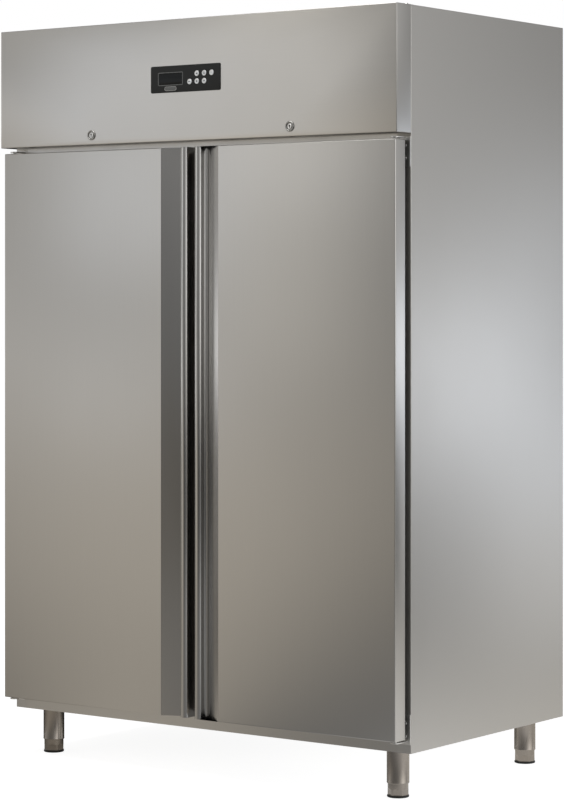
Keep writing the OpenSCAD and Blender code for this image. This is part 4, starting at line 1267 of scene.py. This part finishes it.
def make_pipes():
    """Copper tube with formed bends, and the filter drier."""
    coil_lo = low("condenser_coil")
    comp_lo, comp_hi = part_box("compressor")
    base = coil_lo.z
    comp_x = comp_hi.x - 95 * MM
    comp_y = (comp_lo.y + comp_hi.y) / 2
    shell_x = comp_x + 80.2 * MM
    mid_y = coil_lo.y + 25 * MM
    edge_x = coil_lo.x - 0.2 * MM
    shape = bmesh.new()
    add_sweep(shape, [
        (shell_x - 4 * MM, comp_y - 30 * MM, base + 90 * MM),
        (shell_x + 30 * MM, comp_y - 30 * MM, base + 90 * MM),
        (shell_x + 30 * MM, comp_y - 30 * MM, base + 230 * MM),
        (shell_x + 30 * MM, mid_y, base + 230 * MM),
        (edge_x, mid_y, base + 230 * MM),
    ], 4 * MM, 16, 16 * MM)
    drier_y = comp_y + 110 * MM
    low_x = coil_lo.x - 60 * MM
    add_sweep(shape, [
        (edge_x, mid_y, base + 22 * MM), (low_x, mid_y, base + 22 * MM),
        (low_x, drier_y + 160 * MM, base + 22 * MM), (low_x, drier_y + 160 * MM, base),
    ], 3 * MM, 16, 12 * MM)
    turn = facing_back((low_x, drier_y, base + 22 * MM))
    add_revolved(shape, mm([
        (0, 0), (4, 0), (4.5, 6), (9, 12), (11, 18), (11, 92), (9, 98), (4.5, 104), (4, 110), (0, 110),
    ]), 40, turn)
    add_sweep(shape, [
        (shell_x - 4 * MM, comp_y + 30 * MM, base + 70 * MM),
        (shell_x + 40 * MM, comp_y + 30 * MM, base + 70 * MM),
        (shell_x + 40 * MM, comp_y + 30 * MM, base),
    ], 5 * MM, 16, 14 * MM)
    finish_piece(from_bmesh("copper_tubes", shape), "cabinet", "copper_pipe", ["refrigerant_pipes"])


def make_electrical_box():
    lo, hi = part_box("electrical_box")
    parts = [
        soft_box("box", lo, (hi.x - 8 * MM, hi.y, hi.z), 3 * MM),
        soft_box("lid", (hi.x - 7.4 * MM, lo.y, lo.z), hi, 2.5 * MM),
    ]
    for k in range(4):
        y = lo.y + 24 * MM + 44 * MM * k
        parts.append(revolved("gland", mm([
            (0, 0), (8, 0), (8, 4), (6.5, 5), (6.5, 10), (4, 12), (0, 12),
        ]), 12, "Z", ((lo.x + hi.x) / 2 - 4 * MM, y, hi.z - 0.4 * MM)))
    for y in (lo.y + 12 * MM, hi.y - 12 * MM):
        for z in (lo.z + 12 * MM, hi.z - 12 * MM):
            turn = Matrix.Translation((hi.x - 0.2 * MM, y, z)) @ Matrix.Rotation(radians(90), 4, "Y")
            shape = bmesh.new()
            add_revolved(shape, [(0, 1.0 * MM), (2.6 * MM, 0.8 * MM), (3.4 * MM, 0), (0, 0)], 20, turn)
            parts.append(from_bmesh("screw", shape))
    finish_piece(join_meshes("electrical_case", parts), "cabinet", "box_grey", ["electrical_box"])


def make_cabinet():
    make_side_panels()
    make_header()
    make_locks()
    make_controller()
    make_legs()
    make_feet()
    make_screws()
    make_shelves()
    make_coil("evaporator_fins", "evaporator_coil", "coil_aluminium", 6 * MM, 5 * MM, 3, 3)
    make_coil("condenser_fins", "condenser_coil", "condenser_black", 4 * MM, 4 * MM, 2, 8)
    make_compressor()
    make_fan("evaporator_fan_moulded", "evaporator_fan", 22 * MM, 5)
    make_fan("condenser_fan_moulded", "condenser_fan", 30 * MM, 5)
    make_motor("evaporator_motor", "evaporator_fan_motor", 28 * MM, 50 * MM)
    make_motor("condenser_motor", "condenser_fan_motor", 38 * MM, 70 * MM)
    make_pipes()
    make_electrical_box()
    kept = (
        ("back_panel", "galvanised_sheet", 0.4),
        ("base_panel", "galvanised_sheet", 0.4),
        ("roof_panel", "galvanised_sheet", 0.4),
        ("rear_grille", "galvanised_sheet", 0.4),
        ("unit_base", "galvanised_sheet", 0.4),
        ("drip_tray", "galvanised_sheet", 0.4),
        ("face_frame", "stainless_outer", 0.5),
        ("centre_mullion", "stainless_outer", 0.5),
        ("insulation", "foam", 0),
        ("liner", "liner_steel", 0),
        ("shelf_posts", "liner_steel", 0.5),
        ("shelf_runners", "liner_steel", 0.3),
        ("evaporator_cover", "liner_steel", 0.5),
        ("condenser_shroud", "motor_grey", 0.5),
        ("hinge_brackets", "bracket_steel", 0.5),
        ("cable_gland", "bezel_black", 0.6),
    )
    for node, material, edge in kept:
        smooth_cad(node, material, edge * MM)


# ---------------------------------------------------------------- floor and light

NEUTRAL = (1.0, 1.0, 1.0)
WARM = (1.05, 1.0, 0.9)
COOL = (0.94, 1.0, 1.1)
BROWN = (1.08, 1.0, 0.88)

# Glows of the room, seen by light and reflections only: heading in degrees from the front
# towards the left, narrowness, height of the middle, half height, brightness, tint
GLOWS = [
    (36, 3.0, 0.75, 0.35, 0.2, NEUTRAL),
    (83, 4.0, 0.0, 0.07, 1.2, NEUTRAL),
    (83, 4.0, 0.32, 0.16, 0.65, WARM),
    (83, 4.0, 0.75, 0.35, 0.2, NEUTRAL),
    (-10, 8.0, 0.32, 0.16, 0.1, NEUTRAL),
    (-10, 8.0, 0.75, 0.35, 0.2, NEUTRAL),
    (-45, 6.0, 0.6, 0.35, 0.15, WARM),
    (-90, 6.0, 0.0, 0.1, 0.65, WARM),
    (-90, 6.0, 0.2, 0.14, 1.75, NEUTRAL),
    (-90, 6.0, 0.6, 0.35, 1.0, NEUTRAL),
    (216, 3.0, 0.32, 0.16, 0.15, NEUTRAL),
    (216, 3.0, 0.75, 0.35, 0.2, NEUTRAL),
]
ROOM = 0.15

# Brightness of the floor as metal mirrors it: heading, narrowness, near and far brightness, tint
FLOOR_PATCHES = [
    (36, 6.0, 0.43, 0.55, BROWN),
    (-10, 12.0, 0.08, 0.0, NEUTRAL),
    (85, 6.0, 0.0, 0.08, NEUTRAL),
    (-80, 4.0, 0.7, 0.15, NEUTRAL),
    (216, 3.0, 0.5, 0.0, WARM),
]

# Softboxes: distance out of line, height, power, tint
SIDE_BOXES = [
    (0.55, 1.20, 3.3, COOL),
    (-0.4, 0.25, 2.0, NEUTRAL),
    (-0.4, 0.60, 2.5, COOL),
    (-0.4, 0.95, 1.5, COOL),
    (-0.4, 1.30, 0.8, COOL),
    (-0.4, 1.65, 1.2, COOL),
    (-0.4, 2.00, 0.3, NEUTRAL),
]
FRONT_BOXES = [
    (0.6, 1.5, 0.8, WARM),
    (0.6, 2.0, 0.7, WARM),
    (0.6, 2.6, 1.8, NEUTRAL),
    (0.6, 3.3, 1.8, WARM),
    (-0.6, 1.0, 0.6, COOL),
    (-0.6, 2.0, 1.3, COOL),
    (-0.6, 2.6, 1.2, COOL),
]


def tinted(tint, brightness):
    return tuple(channel * brightness for channel in tint)


def heading(degrees):
    """The level direction at an angle from the front towards the left."""
    return (-sin(radians(degrees)), -cos(radians(degrees)), 0)


class Graph:
    """Short names for building a tree of shader nodes."""

    def __init__(self, tree):
        self.nodes, self.links = tree.nodes, tree.links
        self.nodes.clear()

    def node(self, kind, **inputs):
        made = self.nodes.new(kind)
        for socket, value in inputs.items():
            self.put(value, made.inputs[socket.replace("_", " ")])
        return made

    def put(self, value, socket):
        if isinstance(value, bpy.types.NodeSocket):
            self.links.new(value, socket)
        else:
            socket.default_value = value

    def operate(self, kind, operation, values):
        made = self.nodes.new(kind)
        made.operation = operation
        for value, socket in zip(values, made.inputs):
            self.put(value, socket)
        return made

    def maths(self, operation, *values):
        return self.operate("ShaderNodeMath", operation, values).outputs[0]

    def vector(self, operation, *values):
        made = self.operate("ShaderNodeVectorMath", operation, values)
        return made.outputs["Value" if operation in ("DOT_PRODUCT", "LENGTH") else "Vector"]

    def scaled(self, colour, amount):
        made = self.nodes.new("ShaderNodeVectorMath")
        made.operation = "SCALE"
        made.inputs[0].default_value = colour
        self.put(amount, made.inputs["Scale"])
        return made.outputs["Vector"]

    def total(self, vectors):
        result = vectors[0]
        for item in vectors[1:]:
            result = self.vector("ADD", result, item)
        return result

    def lobe(self, direction, towards, narrowness):
        """One towards a heading, falling off to the sides."""
        along = self.vector("DOT_PRODUCT", direction, towards)
        return self.maths("MULTIPLY", self.maths("SUBTRACT", along, 1.0), narrowness)

    def finish(self, kind, mirrored_in_metal, seen_by_camera):
        """Ends the tree: the camera sees one shader, all other rays meet the other."""
        path = self.node("ShaderNodeLightPath")
        mix = self.nodes.new("ShaderNodeMixShader")
        self.put(path.outputs["Is Camera Ray"], mix.inputs[0])
        self.put(mirrored_in_metal, mix.inputs[1])
        self.put(seen_by_camera, mix.inputs[2])
        out = self.nodes.new(kind)
        self.put(mix.outputs["Shader"], out.inputs["Surface"])


def make_floor():
    """A wide pale floor: the camera sees white with soft contact shadows, metal mirrors its patches."""
    shape = bmesh.new()
    half = 40
    corners = ((-half, -half), (half, -half), (half, half), (-half, half))
    shape.faces.new([shape.verts.new((x, y, 0)) for x, y in corners])
    floor = from_bmesh("floor", shape)
    material = bpy.data.materials.new("floor_pale")
    material.use_nodes = True
    g = Graph(material.node_tree)
    place = g.node("ShaderNodeNewGeometry").outputs["Position"]
    direction = g.vector("NORMALIZE", place)
    away = g.vector("LENGTH", place)
    far = g.nodes.new("ShaderNodeMapRange")
    far.interpolation_type = "SMOOTHSTEP"
    far.inputs["From Min"].default_value = 1.0
    far.inputs["From Max"].default_value = 4.5
    g.put(away, far.inputs["Value"])
    near = g.maths("SUBTRACT", 1.0, far.outputs["Result"])
    patches = []
    for angle, narrowness, near_bright, far_bright, tint in FLOOR_PATCHES:
        lobe = g.maths("EXPONENT", g.lobe(direction, heading(angle), narrowness))
        patches.append(g.scaled(tinted(tint, near_bright), g.maths("MULTIPLY", lobe, near)))
        beyond = g.maths("MULTIPLY", lobe, far.outputs["Result"])
        patches.append(g.scaled(tinted(tint, far_bright), beyond))
    mirrored_floor = g.node("ShaderNodeEmission", Color=g.total(patches))
    glow = g.node("ShaderNodeEmission", Color=(1, 1, 1, 1), Strength=0.90)
    soft = g.node("ShaderNodeBsdfDiffuse", Color=(0.45, 0.45, 0.45, 1))
    seen = g.nodes.new("ShaderNodeAddShader")
    g.put(glow.outputs["Emission"], seen.inputs[0])
    g.put(soft.outputs["BSDF"], seen.inputs[1])
    g.finish("ShaderNodeOutputMaterial", mirrored_floor.outputs["Emission"], seen.outputs["Shader"])
    floor.data.materials.append(material)


def make_world():
    """White behind the object, and a soft room of wide glows for light and reflections."""
    world = bpy.data.worlds.new("studio")
    bpy.context.scene.world = world
    world.use_nodes = True
    g = Graph(world.node_tree)
    direction = g.node("ShaderNodeTexCoord").outputs["Generated"]
    up = g.node("ShaderNodeSeparateXYZ", Vector=direction).outputs["Z"]
    glows = [g.scaled(tinted(NEUTRAL, ROOM), 1.0)]
    for angle, narrowness, level, half, brightness, tint in GLOWS:
        aside = g.lobe(direction, heading(angle), narrowness)
        rise = g.maths("DIVIDE", g.maths("SUBTRACT", up, level), half)
        fall = g.maths("MULTIPLY", g.maths("MULTIPLY", rise, rise), -1.0)
        glow = g.maths("EXPONENT", g.maths("ADD", aside, fall))
        glows.append(g.scaled(tinted(tint, brightness), glow))
    room = g.node("ShaderNodeBackground", Color=g.total(glows))
    seen = g.node("ShaderNodeBackground", Color=(1, 1, 1, 1))
    g.finish("ShaderNodeOutputWorld", room.outputs["Background"], seen.outputs["Background"])


def softbox(name, place, aim, width, height, power, tint):
    """A rectangular area light that faces a point."""
    data = bpy.data.lights.new(name, "AREA")
    data.shape = "RECTANGLE"
    data.size = width
    data.size_y = height
    data.energy = power
    data.color = tint
    light = bpy.data.objects.new(name, data)
    light.location = place
    light.rotation_euler = (Vector(place) - Vector(aim)).to_track_quat("Z", "Y").to_euler()
    light.visible_camera = False
    bpy.context.scene.collection.objects.link(light)


def make_lights():
    for k, (aside, z, power, tint) in enumerate(SIDE_BOXES):
        x, y = 2.45 + 0.81 * aside, 2.47 - 0.59 * aside
        softbox(f"side_box_{k}", (x, y, z), (x - 1.775, y - 2.42, z), 1.2, 0.6, power, tint)
    for k, (aside, z, power, tint) in enumerate(FRONT_BOXES):
        x, y = -2.2 + 0.81 * aside, -3.45 - 0.59 * aside
        softbox(f"front_box_{k}", (x, y, z), (x + 2.36, y + 3.24, z), 1.2, 0.6, power, tint)
    softbox("top_box", (0, -1.0, 4.5), (0, 0, 1), 3.0, 3.0, 90, NEUTRAL)


bpy.context.scene.view_settings.view_transform = "Standard"
make_camera()
make_world()
make_floor()
make_lights()
make_doors()
make_cabinet()
